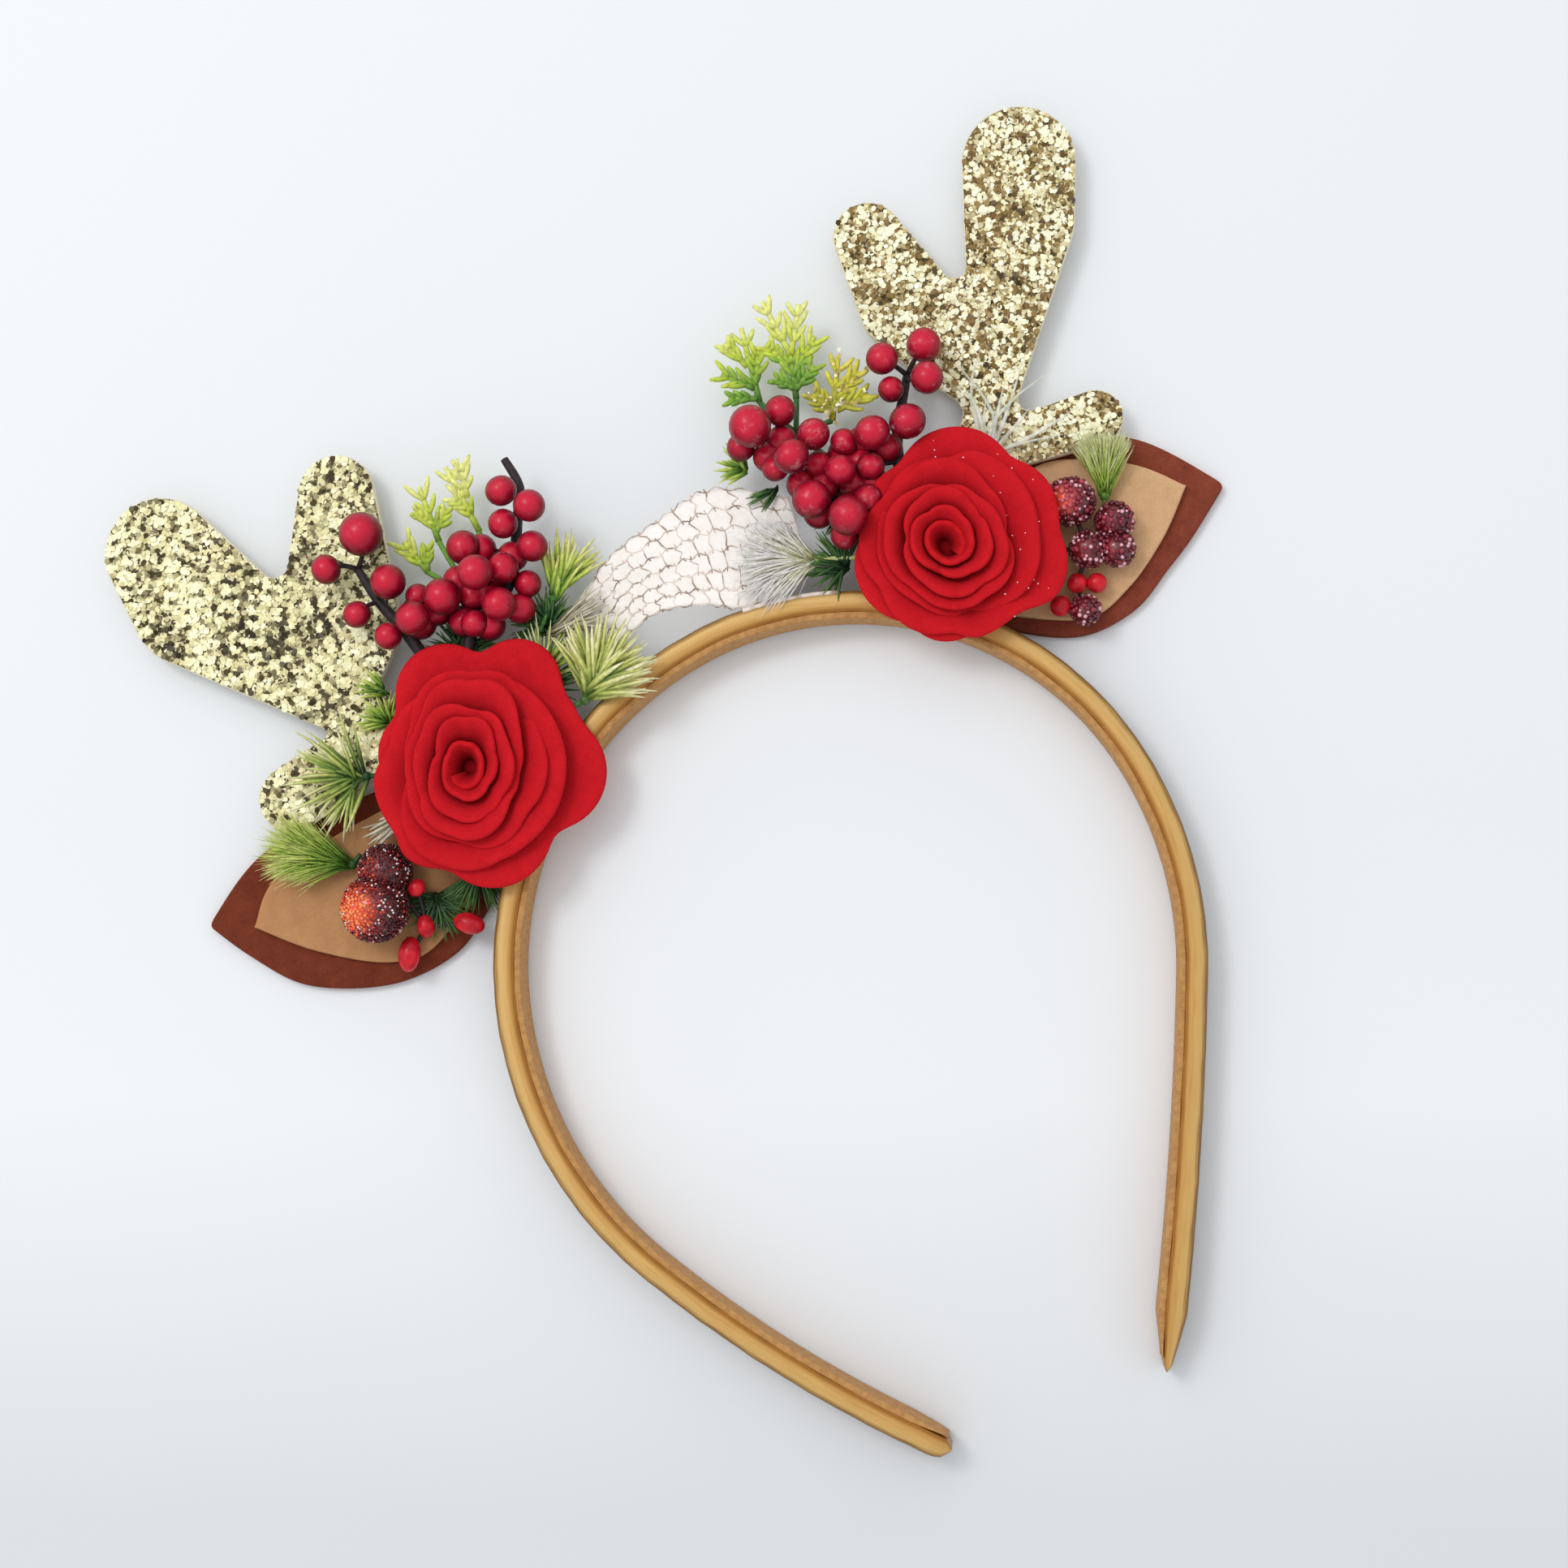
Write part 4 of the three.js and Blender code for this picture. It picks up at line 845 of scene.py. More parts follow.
lacquer, tree = new_finish("berry_lacquer", {
    "Roughness": 0.4, "Specular IOR Level": 0.2, "Coat Weight": 0.25, "Coat Roughness": 0.2,
    "Subsurface Weight": 0.05, "Subsurface Radius": (0.9, 0.2, 0.15), "Subsurface Scale": 0.001})
tone = reckon(tree, "MULTIPLY_ADD", speckle(tree, 560, 4), 0.3, read_mark(tree, "shade"))
colour = ramp(tree, tone, [(0.1, BERRY_DEEP), (0.62, BERRY_LIGHT)])
frost = speckle(tree, 620, 6, Roughness=0.62)
frost = remap(tree, frost, 0.56, 0.72, 0.0, read_mark(tree, "ice"))
feed(tree, "Base Color", mixed(tree, frost, colour, BERRY_BLOOM))
emboss(tree, frost, 0.25, 0.0002)
wire = mottled("wrapped_wire", {"Roughness": 0.62}, 900, 5,
               [(0.35, STEM_DARK), (0.7, STEM_LIGHT)], (0.6, 0.0003))[0]
for seed, (side, count) in enumerate(BERRY_COUNTS.items()):
    nodes = [f"berry_{side}_{number + 1:02d}" for number in range(count)]
    boxes = np.array([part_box(node) for node in nodes]) / MM
    centres = boxes.mean(axis=1)
    radius = np.ptp(boxes[:, :, 2], axis=1) / 2
    low = np.array([(x, y, LOW_BERRY_Z) for x, y in LOW_BERRIES[side]])
    centres = np.concatenate([centres, low])
    radius = np.append(radius, np.full(len(low), LOW_BERRY_RADIUS))
    count = len(centres)
    draw = np.random.default_rng(40 + seed)
    frames = np.eye(3) * (radius[:, None] * draw.uniform(*BERRY_UNEVEN, (count, 3)))[:, None, :]
    points, faces = balls(centres, frames, BERRY_RINGS, BERRY_SIDES)
    # Painted light: each berry is painted lighter on its top and darker down its sides, and each
    # berry also gets a random tone of its own.
    upright = (points.reshape(count, -1, 3) - centres[:, None])[..., 2] / radius[:, None]
    painted_lit = BERRY_PAINTED_TOP_LIGHT * np.clip(upright, 0, 1) ** BERRY_TOP_LIGHT_POWER
    shade = draw.uniform(*BERRY_SHADES, (count, 1)) + painted_lit - 0.02
    ice = np.repeat(BERRY_ICE[side] * draw.uniform(0.3, 1.7, count), len(points) // count)
    add_piece(f"berries_{side}", points, faces, lacquer, "berry_red", nodes,
              {"shade": shade.ravel(), "ice": ice})
    branches = [through(knots, 8) for knots in STEM_BRANCHES[side]]
    stems = [tubes(path[None], STEM_RADIUS * np.linspace(1, 0.25, len(path)) ** 0.4, 8)
             for path in branches]
    sites = np.concatenate(branches)
    foot = sites[((centres[:, None] - sites) ** 2).sum(axis=2).argmin(axis=1)]
    twig, t = straight(foot, centres, TWIG_STEPS)
    twig = twig + 0.8 * np.sin(math.pi * t) * draw.normal(size=(count, 1, 3)) * TWIG_BEND
    twigs = tubes(twig, np.linspace(TWIG_RADIUS, 0.7 * TWIG_RADIUS, TWIG_STEPS), 6)
    add_piece(f"stems_{side}", *joined([*stems, twigs]), wire, "dark_stem",
              [f"berry_stems_{side}"])


# The picks on the ears are soft berries crusted with tiny clear beads, and smooth little buds,
# on thin wires that run back under the rose.
PICK_ROOTS, PICK_WIRE = {"left": (-55.5, -9, 7.4), "right": (56.2, -8, 7.4)}, 0.42
# A row is a fruit's name, the one its wire comes from, its middle and its radius. A bud also has
# its half length and its heading.
PICK_FRUIT = {
    "left": [("small", "rose", -67.5, -13.5, 8.6, 4.6),
             ("large", "small", -71.5, -19, 9.8, 5.8),
             ("bud1", "small", -65.3, -25.2, 6.2, 1.6, 2.1, 80),
             ("bud2", "bud1", -70, -28.5, 6, 2.0, 3.2, 60),
             ("bud3", "bud1", -58, -28, 6, 1.9, 2.9, 140),
             ("bud4", "bud1", -63.6, -18.6, 8.4, 1.5, 1.7, 30)],
    "right": [("first", "rose", 68.6, -14.2, 8, 3),
              ("large", "first", 69.4, -5.2, 8.2, 4),
              ("low", "first", 73.3, -16.2, 7.2, 2.9),
              ("outer", "low", 75, -11.5, 7.2, 3.1),
              ("bud1", "first", 64.5, -18.6, 6.6, 1.8, 1.8, 0),
              ("bud2", "bud1", 67.6, -20, 6.4, 1.8, 1.8, 0),
              ("dark", "bud1", 63.8, -23.5, 6.6, 2.4),
              ("bud3", "dark", 60.2, -21, 6.4, 1.9, 1.9, 0)],
}
BEAD_SPACE = {"left": 0.64, "right": 0.98}
BEAD_RADIUS, BEAD_PROUD = {"left": 0.27, "right": 0.46}, 0.12
# Bead tones run from maroon to orange with the painted light on each bead, together with a random
# spread.
BEAD_PAINTED_LIGHT_TONES = {"left": ((0.05, 0.003, 0.006, 1), (0.34, 0.012, 0.010, 1), (0.95, 0.12, 0.03, 1),
                       (1.0, 0.36, 0.12, 1)),
              "right": ((0.12, 0.006, 0.016, 1), (0.42, 0.03, 0.06, 1), (0.66, 0.12, 0.15, 1))}
GLINT = {"left": (0.96, 0.80, 0.80, 1), "right": (0.88, 0.46, 0.52, 1)}
GLINT_SHARE = {"left": 0.16, "right": 0.22}
# Painted light: the fruit are painted more orange on the side that faces this way, a painted glow
# for light passing through them. The named fruit get less of it, and the mottle adds real tone.
LESS_PAINTED_GLOW = {"small": 0.25, "first": 0.3, "dark": 0.25, "low": 0.3, "outer": 0.3}
PAINTED_LIGHT_WAY, PAINTED_LIGHT_POWER = (-0.48, 0.1, 0.87), 3
FRUIT_ROUND, BUD_ROUND, BEAD_ROUND, WIRE_SAG = (18, 24), (12, 16), (4, 7), 0.8
FRUIT_PAINTED_GLOW_TONES = [(0.2, (0.045, 0.003, 0.006, 1)), (0.5, (0.20, 0.007, 0.012, 1)),
               (1.0, (0.90, 0.10, 0.03, 1))]
BUD_TONES = [(0.35, (0.40, 0.004, 0.012, 1)), (0.62, (0.70, 0.014, 0.026, 1))]


def even_ways(count):
    """Directions spread evenly over a ball: heights in even steps, turned by the golden angle."""
    height = 1 - (2 * np.arange(count) + 1) / count
    turn = math.pi * (3 - math.sqrt(5)) * np.arange(count)
    return polar(turn, np.sqrt(1 - height**2), height)


fruit_skin, tree = new_finish("fruit_skin", {
    "Roughness": 0.3, "Coat Weight": 0.4, "Coat Roughness": 0.15, "Subsurface Weight": 0.25,
    "Subsurface Radius": (1.0, 0.12, 0.06), "Subsurface Scale": 0.003})
mottle = speckle(tree, 700, 4)
tone = reckon(tree, "MULTIPLY_ADD", mottle, 0.5, read_mark(tree, "painted_glow"))
feed(tree, "Base Color", ramp(tree, tone, FRUIT_PAINTED_GLOW_TONES))
emboss(tree, mottle, 0.4, 0.0004)
bead = tinted("glass_bead", {"Roughness": 0.2, "Coat Weight": 0.3, "Coat Roughness": 0.1,
                             "Specular IOR Level": 0.4}, 1300, 2, (0.75, 1.15))
bud = mottled("bud_gloss", {"Roughness": 0.35, "Specular IOR Level": 0.2, "Coat Weight": 0.15,
                            "Coat Roughness": 0.2}, 600, 3, BUD_TONES)[0]
for seed, (side, rows) in enumerate(PICK_FRUIT.items()):
    named = {"rose": PICK_ROOTS[side], **{row[0]: row[2:5] for row in rows}}
    fruit = [row for row in rows if not row[0].startswith("bud")]
    centres = np.array([row[2:5] for row in fruit], float)
    radius = np.array([row[5] for row in fruit])
    draw = np.random.default_rng(60 + seed)
    points, faces = balls(centres, radius, *FRUIT_ROUND)
    local = (points.reshape(len(fruit), -1, 3) - centres[:, None]) / radius[:, None, None]
    # Painted glow: each point of a fruit is painted lighter by how far it faces the painted light
    # way.
    glow_share = np.array([LESS_PAINTED_GLOW.get(row[0], 1) for row in fruit])
    painted_lit = np.clip(local @ PAINTED_LIGHT_WAY, 0, 1) ** PAINTED_LIGHT_POWER * glow_share[:, None]
    add_piece(f"fruit_{side}", points, faces, fruit_skin, "sugared_fruit",
              [f"sugared_pick_{side}"], {"painted_glow": 0.8 * painted_lit.ravel()})
    beads, tint = [], []
    for middle, size, bead_glow_share in zip(centres, radius, glow_share):
        ways = even_ways(int(4 * math.pi * size**2 / BEAD_SPACE[side] ** 2))
        ways = normed(ways + draw.normal(size=ways.shape) * 0.25 * BEAD_SPACE[side] / size)
        painted_lit = np.clip(ways @ PAINTED_LIGHT_WAY, 0, 1) ** PAINTED_LIGHT_POWER * bead_glow_share
        glint = draw.random(len(ways)) < GLINT_SHARE[side] * (1.2 - painted_lit)
        grain = BEAD_RADIUS[side] * draw.uniform(0.7, 1.25, len(ways)) * np.where(glint, 0.75, 1)
        beads.append(balls(middle + (size + BEAD_PROUD) * ways, grain, *BEAD_ROUND))
        # Painted light: beads facing the painted light way are painted more orange, with a random
        # spread of their own tone.
        share = 1.2 * painted_lit + 0.16 * draw.normal(size=len(ways))
        tint.append(np.where(glint[:, None], GLINT[side], tones(share, BEAD_PAINTED_LIGHT_TONES[side])))
    points, faces = joined(beads)
    tint = np.concatenate(tint)
    tint = np.repeat(tint, len(points) // len(tint), axis=0)
    add_piece(f"fruit_{side}_beads", points, faces, bead, "sugared_fruit", marks={"tint": tint})
    buds = [row for row in rows if row[0].startswith("bud")]
    thin, long, spin = np.array([row[5:] for row in buds], float).T
    spin, nil = np.radians(spin), np.zeros(len(buds))
    frames = np.array([[np.cos(spin) * long, -np.sin(spin) * thin, nil],
                       [np.sin(spin) * long, np.cos(spin) * thin, nil], [nil, nil, thin]])
    middles = np.array([row[2:5] for row in buds], float)
    frames = np.moveaxis(frames, 2, 0)
    add_piece(f"buds_{side}", *balls(middles, frames, *BUD_ROUND), bud, "sugared_fruit")
    paths, t = straight([named[row[1]] for row in rows], [named[row[0]] for row in rows], 7)
    paths = paths - WIRE_SAG * np.sin(math.pi * t) * (0, 0, 1)
    add_piece(f"pick_wires_{side}", *tubes(paths, PICK_WIRE, 7), wire, "dark_stem")


# The sprigs are moulded evergreen: a wire that forks into groups of flat fronds, each with pairs
# of soft leaves, dark at the root and lime to yellow at the tips. One is dusted with gold glitter.
SPRIGS = {
    "cedar_left": ((-41.5, 5.8, 6.9), (-34, 25, 6.9), [
        [(-27.8, 35.2, 7, -28.5, 48.3, 8.5, 0), (-27.2, 41.6, 8, -25.8, 47.7, 8.5, 0),
         (-27.4, 39, 7.6, -29.6, 42.8, 8, 0)],
        [(-35.2, 36.8, 7, -34.4, 47.2, 8, 0), (-35, 38.5, 7.2, -31.4, 41.5, 7.5, 0),
         (-35, 40, 7.4, -36.8, 43.4, 7.8, 0)],
        [(-39.2, 32.5, 7, -40.9, 39.3, 8, 0), (-39.2, 33, 7.2, -37.4, 36.8, 7.5, 0)]]),
    "cedar_right": ((41.8, 5.8, 6.9), (31, 27, 6.9), [
        [(27.4, 34.8, 7, 30, 48.2, 8.5, 0), (28.1, 41.5, 7.9, 26, 47, 8.5, 0),
         (27.6, 37.5, 7.4, 23.3, 42.2, 8, 0), (28, 38, 7.6, 31.4, 43.6, 8.5, 0),
         (27.4, 35.6, 7.2, 22.6, 37.8, 7.5, 0)],
        [(33.6, 32.6, 7, 36, 40.4, 8, 0), (35.9, 40, 8, 35.3, 50.8, 9, 0),
         (36, 40, 8, 41, 47.5, 9, 0), (34.6, 36.5, 7.6, 41.2, 41, 9, 0),
         (34.6, 38.3, 7.8, 33, 43.2, 8.5, 0), (34, 34, 7.3, 38.9, 36.4, 8.5, 0),
         (34, 34.4, 7.3, 31.6, 37.4, 8, 0)],
        [(37.7, 26, 8, 43.4, 35.7, 9.5, 1), (38.2, 26.8, 8.2, 36.5, 31.6, 9.5, 1),
         (40, 29, 8.6, 45.6, 31.6, 9.5, 1), (39.2, 27.2, 8.4, 45.4, 27.2, 9.5, 1)]]),
}
FROND_RADIUS, FROND_STEPS, FROND_SIDES, WIRE_RADIUS = (0.6, 0.45), 7, 6, 0.5
SPRIG_LIGHT = {"cedar_left": 0.34, "cedar_right": 0.04}
LEAF_AT = np.array((0.24, 0.5, 0.76))
LEAF_SHARE, LEAF_LIMITS, LEAF_SPLAY = 0.42, (1.6, 3.1), 0.72
LEAF_WIDTHS = 0.5 * np.array((0.7, 0.9, 1.0, 0.95, 0.5))
SPRIG_REACH = 15
SPRIG_TONES = ((0.03, 0.12, 0.02, 1), (0.20, 0.42, 0.04, 1), (0.58, 0.69, 0.06, 1),
               (0.86, 0.87, 0.28, 1))
GILT = np.array((0.80, 0.62, 0.05, 1))
SPRIG_GLINTS, GLINT_RADIUS = 44, (0.22, 0.5)
GLINT_TONES = ((0.30, 0.20, 0.05, 1), (0.75, 0.60, 0.20, 1), (1, 0.97, 0.72, 1))


def sprig_tint(paths, origins, light, gilt, draw):
    """Colour at each ring of many tubes: by how far it is from its sprig's foot, each tube a little
    off, and mixed with gilt on the dusted ones."""
    share = light + np.linalg.norm(paths - origins[:, None], axis=2) / SPRIG_REACH
    colour = tones(share + 0.07 * draw.normal(size=(len(paths), 1)), SPRIG_TONES)
    colour = colour + 0.55 * gilt[:, None, None] * (GILT - colour)
    return np.repeat(colour, FROND_SIDES, axis=1).reshape(-1, 4)


greenery = tinted("moulded_green", {
    "Roughness": 0.5, "Specular IOR Level": 0.4, "Subsurface Weight": 0.15,
    "Subsurface Radius": (0.5, 0.7, 0.2), "Subsurface Scale": 0.001},
    1200, 3, (0.72, 1.12), (0.3, 0.7), (0.3, 0.0002))
for seed, (node, (root, fork, groups)) in enumerate(SPRIGS.items()):
    draw = np.random.default_rng(80 + seed)
    fronds = np.array([frond for group in groups for frond in group], float)
    origins = np.array([group[0][:3] for group in groups for frond in group], float)
    foot, tip, gilt = fronds[:, :3], fronds[:, 3:6], fronds[:, 6]
    ahead = tip - foot
    wire_ends = [fork] + [group[0][:3] for group in groups]
    wires = straight([root] + [fork] * len(groups), wire_ends, FROND_STEPS)[0]
    wires = tubes(wires, WIRE_RADIUS, FROND_SIDES)
    blades = straight(foot, tip, FROND_STEPS)[0]
    girth = np.linspace(*FROND_RADIUS, FROND_STEPS)
    parts = [wires, tubes(blades, girth, FROND_SIDES, flat=0.6)]
    light = SPRIG_LIGHT[node]
    tint = [np.tile(tones(0.8 * light, SPRIG_TONES), (len(wires[0]), 1)),
            sprig_tint(blades, origins, light, gilt, draw)]
    heading = np.arctan2(ahead[:, 1], ahead[:, 0])[:, None]
    long = np.linalg.norm(ahead, axis=1)[:, None]
    base = foot[:, None] + ahead[:, None] * LEAF_AT[:, None]
    s = np.linspace(0, 1, len(LEAF_WIDTHS))[:, None]
    for way in (-1, 1):
        turn = heading + way * LEAF_SPLAY + 0.14 * draw.normal(size=base.shape[:2])
        size = np.clip(LEAF_SHARE * long, *LEAF_LIMITS) * draw.uniform(0.8, 1.15, base.shape[:2])
        leaf = polar(turn, 1, 0.2) * size[..., None]
        onward = (ahead / long)[:, None] * size[..., None]
        paths = base[:, :, None] + leaf[:, :, None] * s + 0.3 * onward[:, :, None] * s**2
        paths = paths.reshape(-1, len(s), 3)
        parts.append(tubes(paths, LEAF_WIDTHS, FROND_SIDES, flat=0.8))
        tint.append(sprig_tint(paths, np.repeat(origins, len(LEAF_AT), axis=0), light,
                               np.repeat(gilt, len(LEAF_AT)), draw))
    add_piece(node + "_leaves", *joined(parts), greenery, "lime_sprig", [node],
              {"tint": np.concatenate(tint)})
    if gilt.any():
        sites = blades[gilt > 0].reshape(-1, 3)
        spots = np.tile(sites, (2, 1))[:SPRIG_GLINTS] + (0, 0, 0.7)
        spots = spots + draw.normal(size=spots.shape) * (0.6, 0.6, 0.2)
        lean = draw.normal(size=spots.shape) * 0.3 + (0, 0, 1)
        glints = np.stack([spots, spots + FLAKE_THICK * lean], axis=1)
        glints = tubes(glints, draw.uniform(*GLINT_RADIUS, (len(spots), 1)), FLAKE_SIDES)
        tint = np.repeat(tones(draw.random(len(spots)), GLINT_TONES), 2 * FLAKE_SIDES, axis=0)
        add_piece(node + "_glitter", *glints, flake, "glitter", marks={"tint": tint}, smooth=False)


# The needle tufts are cut from soft plastic: fine needles bound at the head on a short wire, some
# in a fan from one point and some along a stem like a brush.
TIED_RADIUS, BOUND_RADIUS = 0.5, np.array([0.9])
# A row is a tuft's root and head, its heading and fan in degrees, the length of its stem, the
# number, length, rise and radius of its needles, and their tone.
TUFTS = {
    "cedar_left_small": ((-37.4, 2.7, 7), (-20.6, 18.4, 7),
                         42, 92, 4, 58, 9.6, 2.2, 0.45, "grass"),
    "needle_spray_left": ((-55.5, 0, 7.6), (-64, 3.5, 7.6),
                          158, 170, 2.5, 44, 12.5, 3.2, 0.42, "fresh"),
    "brush_tuft_left": ((-71, -8.5, 5.6), (-73, -9.5, 5.6),
                        142, 78, 7, 620, 10.5, 3.4, 0.13, "lime"),
    "pale_tuft_left": ((-35.5, -1.8, 8.1), (-22.5, -1.2, 10.4),
                       36, 124, 5, 116, 11.5, 3.2, 0.5, "pale"),
    "brush_tuft_right": ((74.5, -8.5, 5.6), (75.5, -6.5, 5.6),
                         68, 62, 2, 560, 10, 3.0, 0.13, "frost"),
    "pale_brush_right": ((36.4, 0, 8), (25, 4.4, 8),
                         160, 104, 5, 460, 11, 3.0, 0.16, "cream"),
}
NEEDLE_TONES = {
    "fresh": ((0.015, 0.06, 0.014, 1), (0.22, 0.35, 0.05, 1), (0.60, 0.64, 0.16, 1),
              (0.88, 0.85, 0.52, 1)),
    "lime": ((0.025, 0.085, 0.01, 1), (0.16, 0.33, 0.03, 1), (0.46, 0.62, 0.08, 1),
             (0.78, 0.80, 0.26, 1)),
    "pale": ((0.07, 0.16, 0.03, 1), (0.46, 0.54, 0.11, 1), (0.76, 0.76, 0.26, 1),
             (0.92, 0.88, 0.55, 1)),
    "frost": ((0.10, 0.24, 0.02, 1), (0.32, 0.48, 0.05, 1), (0.54, 0.62, 0.14, 1),
              (0.82, 0.82, 0.48, 1)),
    "cream": ((0.52, 0.55, 0.20, 1), (0.90, 0.88, 0.68, 1), (0.97, 0.95, 0.88, 1),
              (0.98, 0.97, 0.94, 1)),
    "beige": ((0.10, 0.09, 0.05, 1), (0.42, 0.38, 0.24, 1), (0.66, 0.60, 0.44, 1),
              (0.84, 0.80, 0.66, 1)),
    "grass": ((0.06, 0.20, 0.03, 1), (0.36, 0.54, 0.07, 1), (0.68, 0.75, 0.14, 1),
              (0.90, 0.87, 0.45, 1)),
    "dark": ((0.008, 0.03, 0.008, 1), (0.02, 0.075, 0.018, 1), (0.05, 0.14, 0.03, 1),
             (0.12, 0.24, 0.05, 1)),
}
NEEDLE_TAPER, NEEDLE_SIDES, NEEDLE_FLAT = np.array((0.8, 1.0, 0.9, 0.65, 0.15)), 4, 0.6
# Loose ends of greenery that show between the pieces: dark needles and a few lime leaves, in rows
# like a tuft's, without a root. The dark needles stand partly for dark greenery and partly for
# painted shade in the gaps between the pieces; the third row is a painted shade on the lower part
# of the left ear's tan felt, under the rose and the pick.
FILLER = (
    ((29, 1, 7.6), 130, 200, 1, 64, 7.5, 1.4, 0.3, "dark"),
    ((-52.5, -19.5, 5.4), -112, 120, 1, 80, 8, 0.8, 0.22, "dark"),
    ((-61.5, -20.8, 5.2), -105, 230, 2, 130, 6.5, 0.5, 0.24, "dark"),
    ((-24, 13.5, 6.6), 70, 230, 2, 96, 6.5, 1.2, 0.26, "dark"),
    ((-40, 15.5, 6.2), 80, 200, 3, 80, 7, 1.0, 0.26, "dark"),
    ((34.5, 9, 6.4), 130, 230, 3, 90, 6.5, 1.2, 0.26, "dark"),
    ((24, 19.5, 7.4), 195, 60, 2, 16, 5, 0.8, 0.26, "dark"),
    ((20.5, 24.5, 7.2), 130, 110, 1, 18, 5.5, 1.0, 0.45, "lime"),
    ((-55, 15.5, 7.4), 115, 90, 1, 12, 5.5, 1.0, 0.4, "lime"),
    ((-24, 12.6, 9.0), 8, 42, 3, 46, 10.5, 1.2, 0.24, "beige"),
    ((-58, -5, 7.4), 196, 44, 2, 16, 9, 0.8, 0.5, "beige"),
    ((-30, 4.5, 6.8), 40, 150, 2, 70, 8.5, 1.6, 0.28, "dark"),
    ((-29, 5.5, 7.6), 44, 100, 3, 46, 9.5, 2.4, 0.3, "frost"),
    ((-56.5, 10, 6.3), 110, 150, 2, 40, 5.5, 1.2, 0.3, "lime"),
)


def needles(draw, head, heading, fan, stem, count, length, rise, radius):
    """Tapered needles from a head: each starts a share of the way along the stem, heads off by a
    share of the fan, climbs by its layer and droops with the square of its length."""
    middle = math.radians(heading)
    turn = middle + math.radians(fan) * (draw.random(count) - 0.5)
    on_stem = stem * draw.random(count)
    foot = np.array(head) + on_stem[:, None] * np.array((math.cos(middle), math.sin(middle), 0.1))
    foot = foot + draw.normal(size=(count, 3)) * (0.35, 0.35, 0.25)
    reach = length * draw.uniform(0.72, 1.05, count)
    climb = rise * draw.uniform(-0.15, 1.25, count)
    t = np.linspace(0, 1, len(NEEDLE_TAPER))[None, :, None]
    ahead = polar(turn, reach, 0)
    aside = np.cross((0, 0, 1), polar(turn, 1, 0))
    bow = 0.07 * length * draw.normal(size=(count, 1, 1)) * aside[:, None] * t**2
    lift = climb[:, None, None] * (1.6 * t - 0.6 * t**2) * (0, 0, 1)
    paths = foot[:, None] + ahead[:, None] * t + bow + lift
    girth = radius * draw.uniform(0.75, 1.2, (count, 1)) * NEEDLE_TAPER
    return tubes(paths, girth, NEEDLE_SIDES, NEEDLE_FLAT)


def needle_tint(draw, count, tone):
    """Colour along each needle from its root to its tip, with each needle a little off."""
    share = np.linspace(0, 1, len(NEEDLE_TAPER)) + 0.13 * draw.normal(size=(count, 1))
    return np.repeat(tones(share, NEEDLE_TONES[tone]), NEEDLE_SIDES, axis=1).reshape(-1, 4)


for seed, (node, (root, *tuft, tone)) in enumerate(TUFTS.items()):
    draw = np.random.default_rng(100 + seed)
    head, count = tuft[0], tuft[4]
    spray = needles(draw, *tuft)
    tied = tubes(np.linspace(root, head, 5)[None], TIED_RADIUS, 7)
    bound = balls(np.array([head], float), BOUND_RADIUS, 8, 10)
    points, faces = joined([spray, tied, bound])
    dark = np.tile(NEEDLE_TONES[tone][0], (len(points) - len(spray[0]), 1))
    tint = np.concatenate([needle_tint(draw, count, tone), dark])
    slot = "lime_sprig" if node.startswith("cedar") else "pale_needle"
    add_piece(node + "_needles", points, faces, greenery, slot, [node], {"tint": tint})
draw = np.random.default_rng(120)
bits = [(needles(draw, *tuft), needle_tint(draw, tuft[4], tone)) for *tuft, tone in FILLER]
add_piece("loose_greenery", *joined([bit for bit, tint in bits]), greenery, "pale_needle",
          marks={"tint": np.concatenate([tint for bit, tint in bits])})


# The veil is a scrap of sheer cream gauze with a brick-like net of coarser brown threads on it,
# gathered at its right end under the rose. A brown thread ties it along the hoop's outer edge.
NET_LOWER = [(-15.5, 4.5), (-6, 8), (3, 6), (11, 1.8), (23, 3.4)]
NET_UPPER = [(-19, 13), (-10, 20), (2, 23), (13, 24.2), (25, 17)]
NET_Z, NET_BOW, NET_SAG = 6.4, 1.6, 0.3
NET_COLUMNS, NET_ROWS = 13, 6
CLOTH_STEPS, LONG_STEPS, TIE_STEPS = (70, 24), 160, 16
THREAD_RADIUS, THREAD_PULL = 0.12, 0.10
GAUZE = [(0.3, (0.97, 0.905, 0.855, 1)), (0.7, (0.99, 0.95, 0.915, 1))]
GAUZE_COVER, GAUZE_THICK = (0.72, 0.95), 0.12
THREAD = [(0.4, (0.33, 0.23, 0.17, 1)), (0.6, (0.86, 0.76, 0.68, 1))]
TIE_FROM, TIE_TO, TIE_AWAY, TIE_Z, TIE_RADIUS = 9, 26, 1.9, 8.6, 0.42
low_edge, high_edge = through(NET_LOWER, 40), through(NET_UPPER, 40)


def on_net(u, v):
    """Place on the veil at shares along and across it: between its two edges, bowed up along its
    middle, with soft ripples that close in towards the gathered end."""
    along = u + NET_SAG / NET_COLUMNS * np.sin(math.pi * v) * np.sin(math.pi * u)
    at = np.clip(along, 0, 1) * (len(low_edge) - 1)
    step = np.arange(len(low_edge))
    edges = [np.stack([np.interp(at, step, edge[:, k]) for k in range(2)], axis=-1)
             for edge in (low_edge, high_edge)]
    plan = edges[0] + (edges[1] - edges[0]) * v[..., None]
    height = NET_Z + NET_BOW * np.sin(math.pi * np.clip(u, 0, 1))
    height = height + 0.35 * np.sin(9 * u + 5 * v) * np.sin(math.pi * u)
    return np.concatenate([plan, height[..., None]], axis=-1)


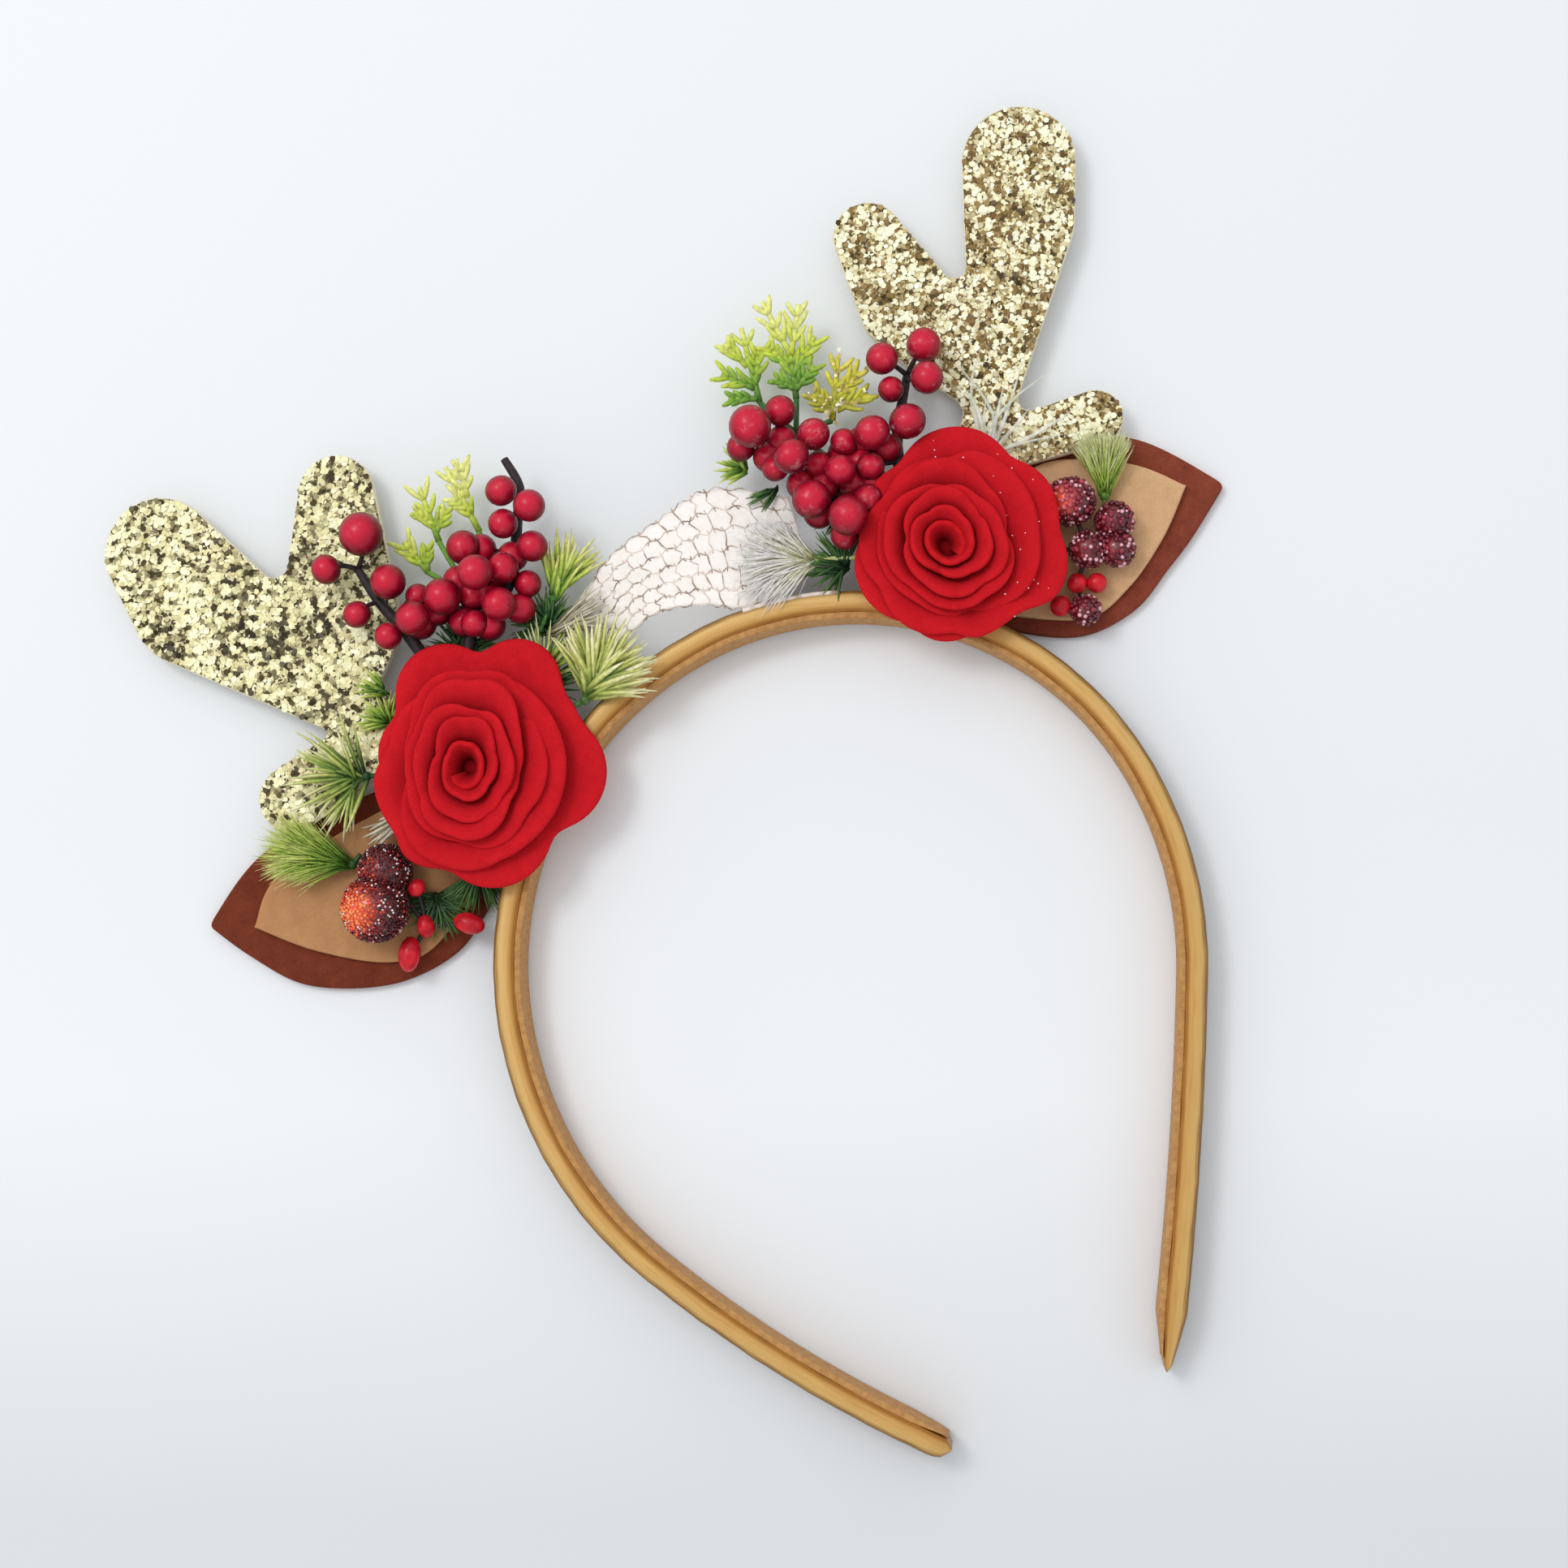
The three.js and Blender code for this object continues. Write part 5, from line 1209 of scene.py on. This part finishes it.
gauze, tree, haze = mottled("cream_gauze", {"Roughness": 0.85, "Sheen Weight": 0.3}, 520, 5, GAUZE)
feed(tree, "Alpha", remap(tree, haze, 0.3, 0.7, *GAUZE_COVER))
thread = mottled("beige_thread", {"Roughness": 0.9}, 380, 6, THREAD, (0.5, 0.0002))[0]
u, v = np.meshgrid(*(np.linspace(0, 1, steps) for steps in CLOTH_STEPS), indexing="ij")
cloth = on_net(u, v)
veil = add_piece("veil_gauze", cloth, grid_faces(*cloth.shape[:2]), gauze, "net", ["veil_net"])
thicken(veil, GAUZE_THICK, 0)
draw = np.random.default_rng(130)
row, column = np.divmod(np.arange(NET_ROWS * NET_COLUMNS), NET_COLUMNS)
s = np.linspace(-0.1, 1.1, 5)
u = (column + row % 2 / 2)[:, None] / NET_COLUMNS + 0.008 * draw.normal(size=(len(row), len(s)))
cross_threads = on_net(u, (row[:, None] + s) / NET_ROWS) + (0, 0, GAUZE_THICK)
row, u = np.meshgrid(np.arange(NET_ROWS + 1), np.linspace(-0.01, 1, LONG_STEPS), indexing="ij")
pull = THREAD_PULL * np.cos(2 * math.pi * (NET_COLUMNS * u - row % 2 / 2))
long_threads = on_net(u, (row + pull) / NET_ROWS) + (0, 0, GAUZE_THICK)
net = [tubes(paths, THREAD_RADIUS * draw.uniform(0.6, 1.3, paths.shape[:2]), 5)
       for paths in (cross_threads, long_threads)]
threads = add_piece("veil_threads", *joined(net), thread, "net")
veil.visible_shadow = threads.visible_shadow = False
line, out = hoop_line(np.linspace(TIE_FROM, TIE_TO, TIE_STEPS))
tie = np.column_stack([line + TIE_AWAY * out, np.full(TIE_STEPS, TIE_Z)])
add_piece("veil_tie", *tubes(tie[None], TIE_RADIUS, 7), thread, "net")


# Behind the right rose a few white filaments fan out over the antler, and clear sparkles are
# scattered on that rose's right side.
WISP_HEAD = (60, 8.5, 6.9)
WISP_TIPS = [(65.8, 25.4, 7.5), (61.9, 25.6, 7.5), (72.5, 21.2, 8), (75.4, 17.3, 8), (78, 9.6, 8),
             (73.3, 6.2, 8), (68.1, 19.2, 8), (63.9, 18, 8), (61.3, 20.9, 8), (70, 13, 8)]
WISP_RADIUS = (0.4, 0.45, 0.38, 0.25, 0.08)
WISP_WHITE = [(0.35, (0.88, 0.86, 0.70, 1)), (0.6, (0.98, 0.97, 0.92, 1))]
WISP_COVER = (0.1, 0.75)
SPARKLES, SPARKLE_RADIUS = 40, (0.08, 0.17)
wisp, tree, cloud = mottled("white_filament", {"Roughness": 0.4, "Subsurface Weight": 0.3,
                                               "Subsurface Scale": 0.001}, 420, 4, WISP_WHITE)
feed(tree, "Alpha", remap(tree, cloud, 0.0, 1.0, *WISP_COVER))
draw = np.random.default_rng(140)
paths, t = straight(WISP_HEAD, WISP_TIPS, len(WISP_RADIUS))
paths = paths + draw.normal(size=(len(paths), 1, 3)) * (1.2, 1.2, 0.1) * np.sin(math.pi * t)
add_piece("white_filaments", *tubes(paths, np.array(WISP_RADIUS), 5, flat=0.5), wisp,
          "pale_needle")
strip = rolled_strip(*ROSE_PLACES["right"], ROSE_PETALS["right"])
rows = strip[-ROSE_STEPS * 2 :, ROSE_ROWS // 2 :].reshape(-1, 3)
rows = rows[rows[:, 0] > ROSE_PLACES["right"][0] + 4]
spots = rows[draw.choice(len(rows), SPARKLES, replace=False)] + (0, 0, 0.55 * ROSE_WALL)
size = draw.uniform(*SPARKLE_RADIUS, SPARKLES)
points, faces = balls(spots, size, 5, 8)
add_piece("rose_right_sparkles", points, faces, bead, "sugared_fruit",
          marks={"tint": np.tile(GLINT["left"], (len(points), 1))})
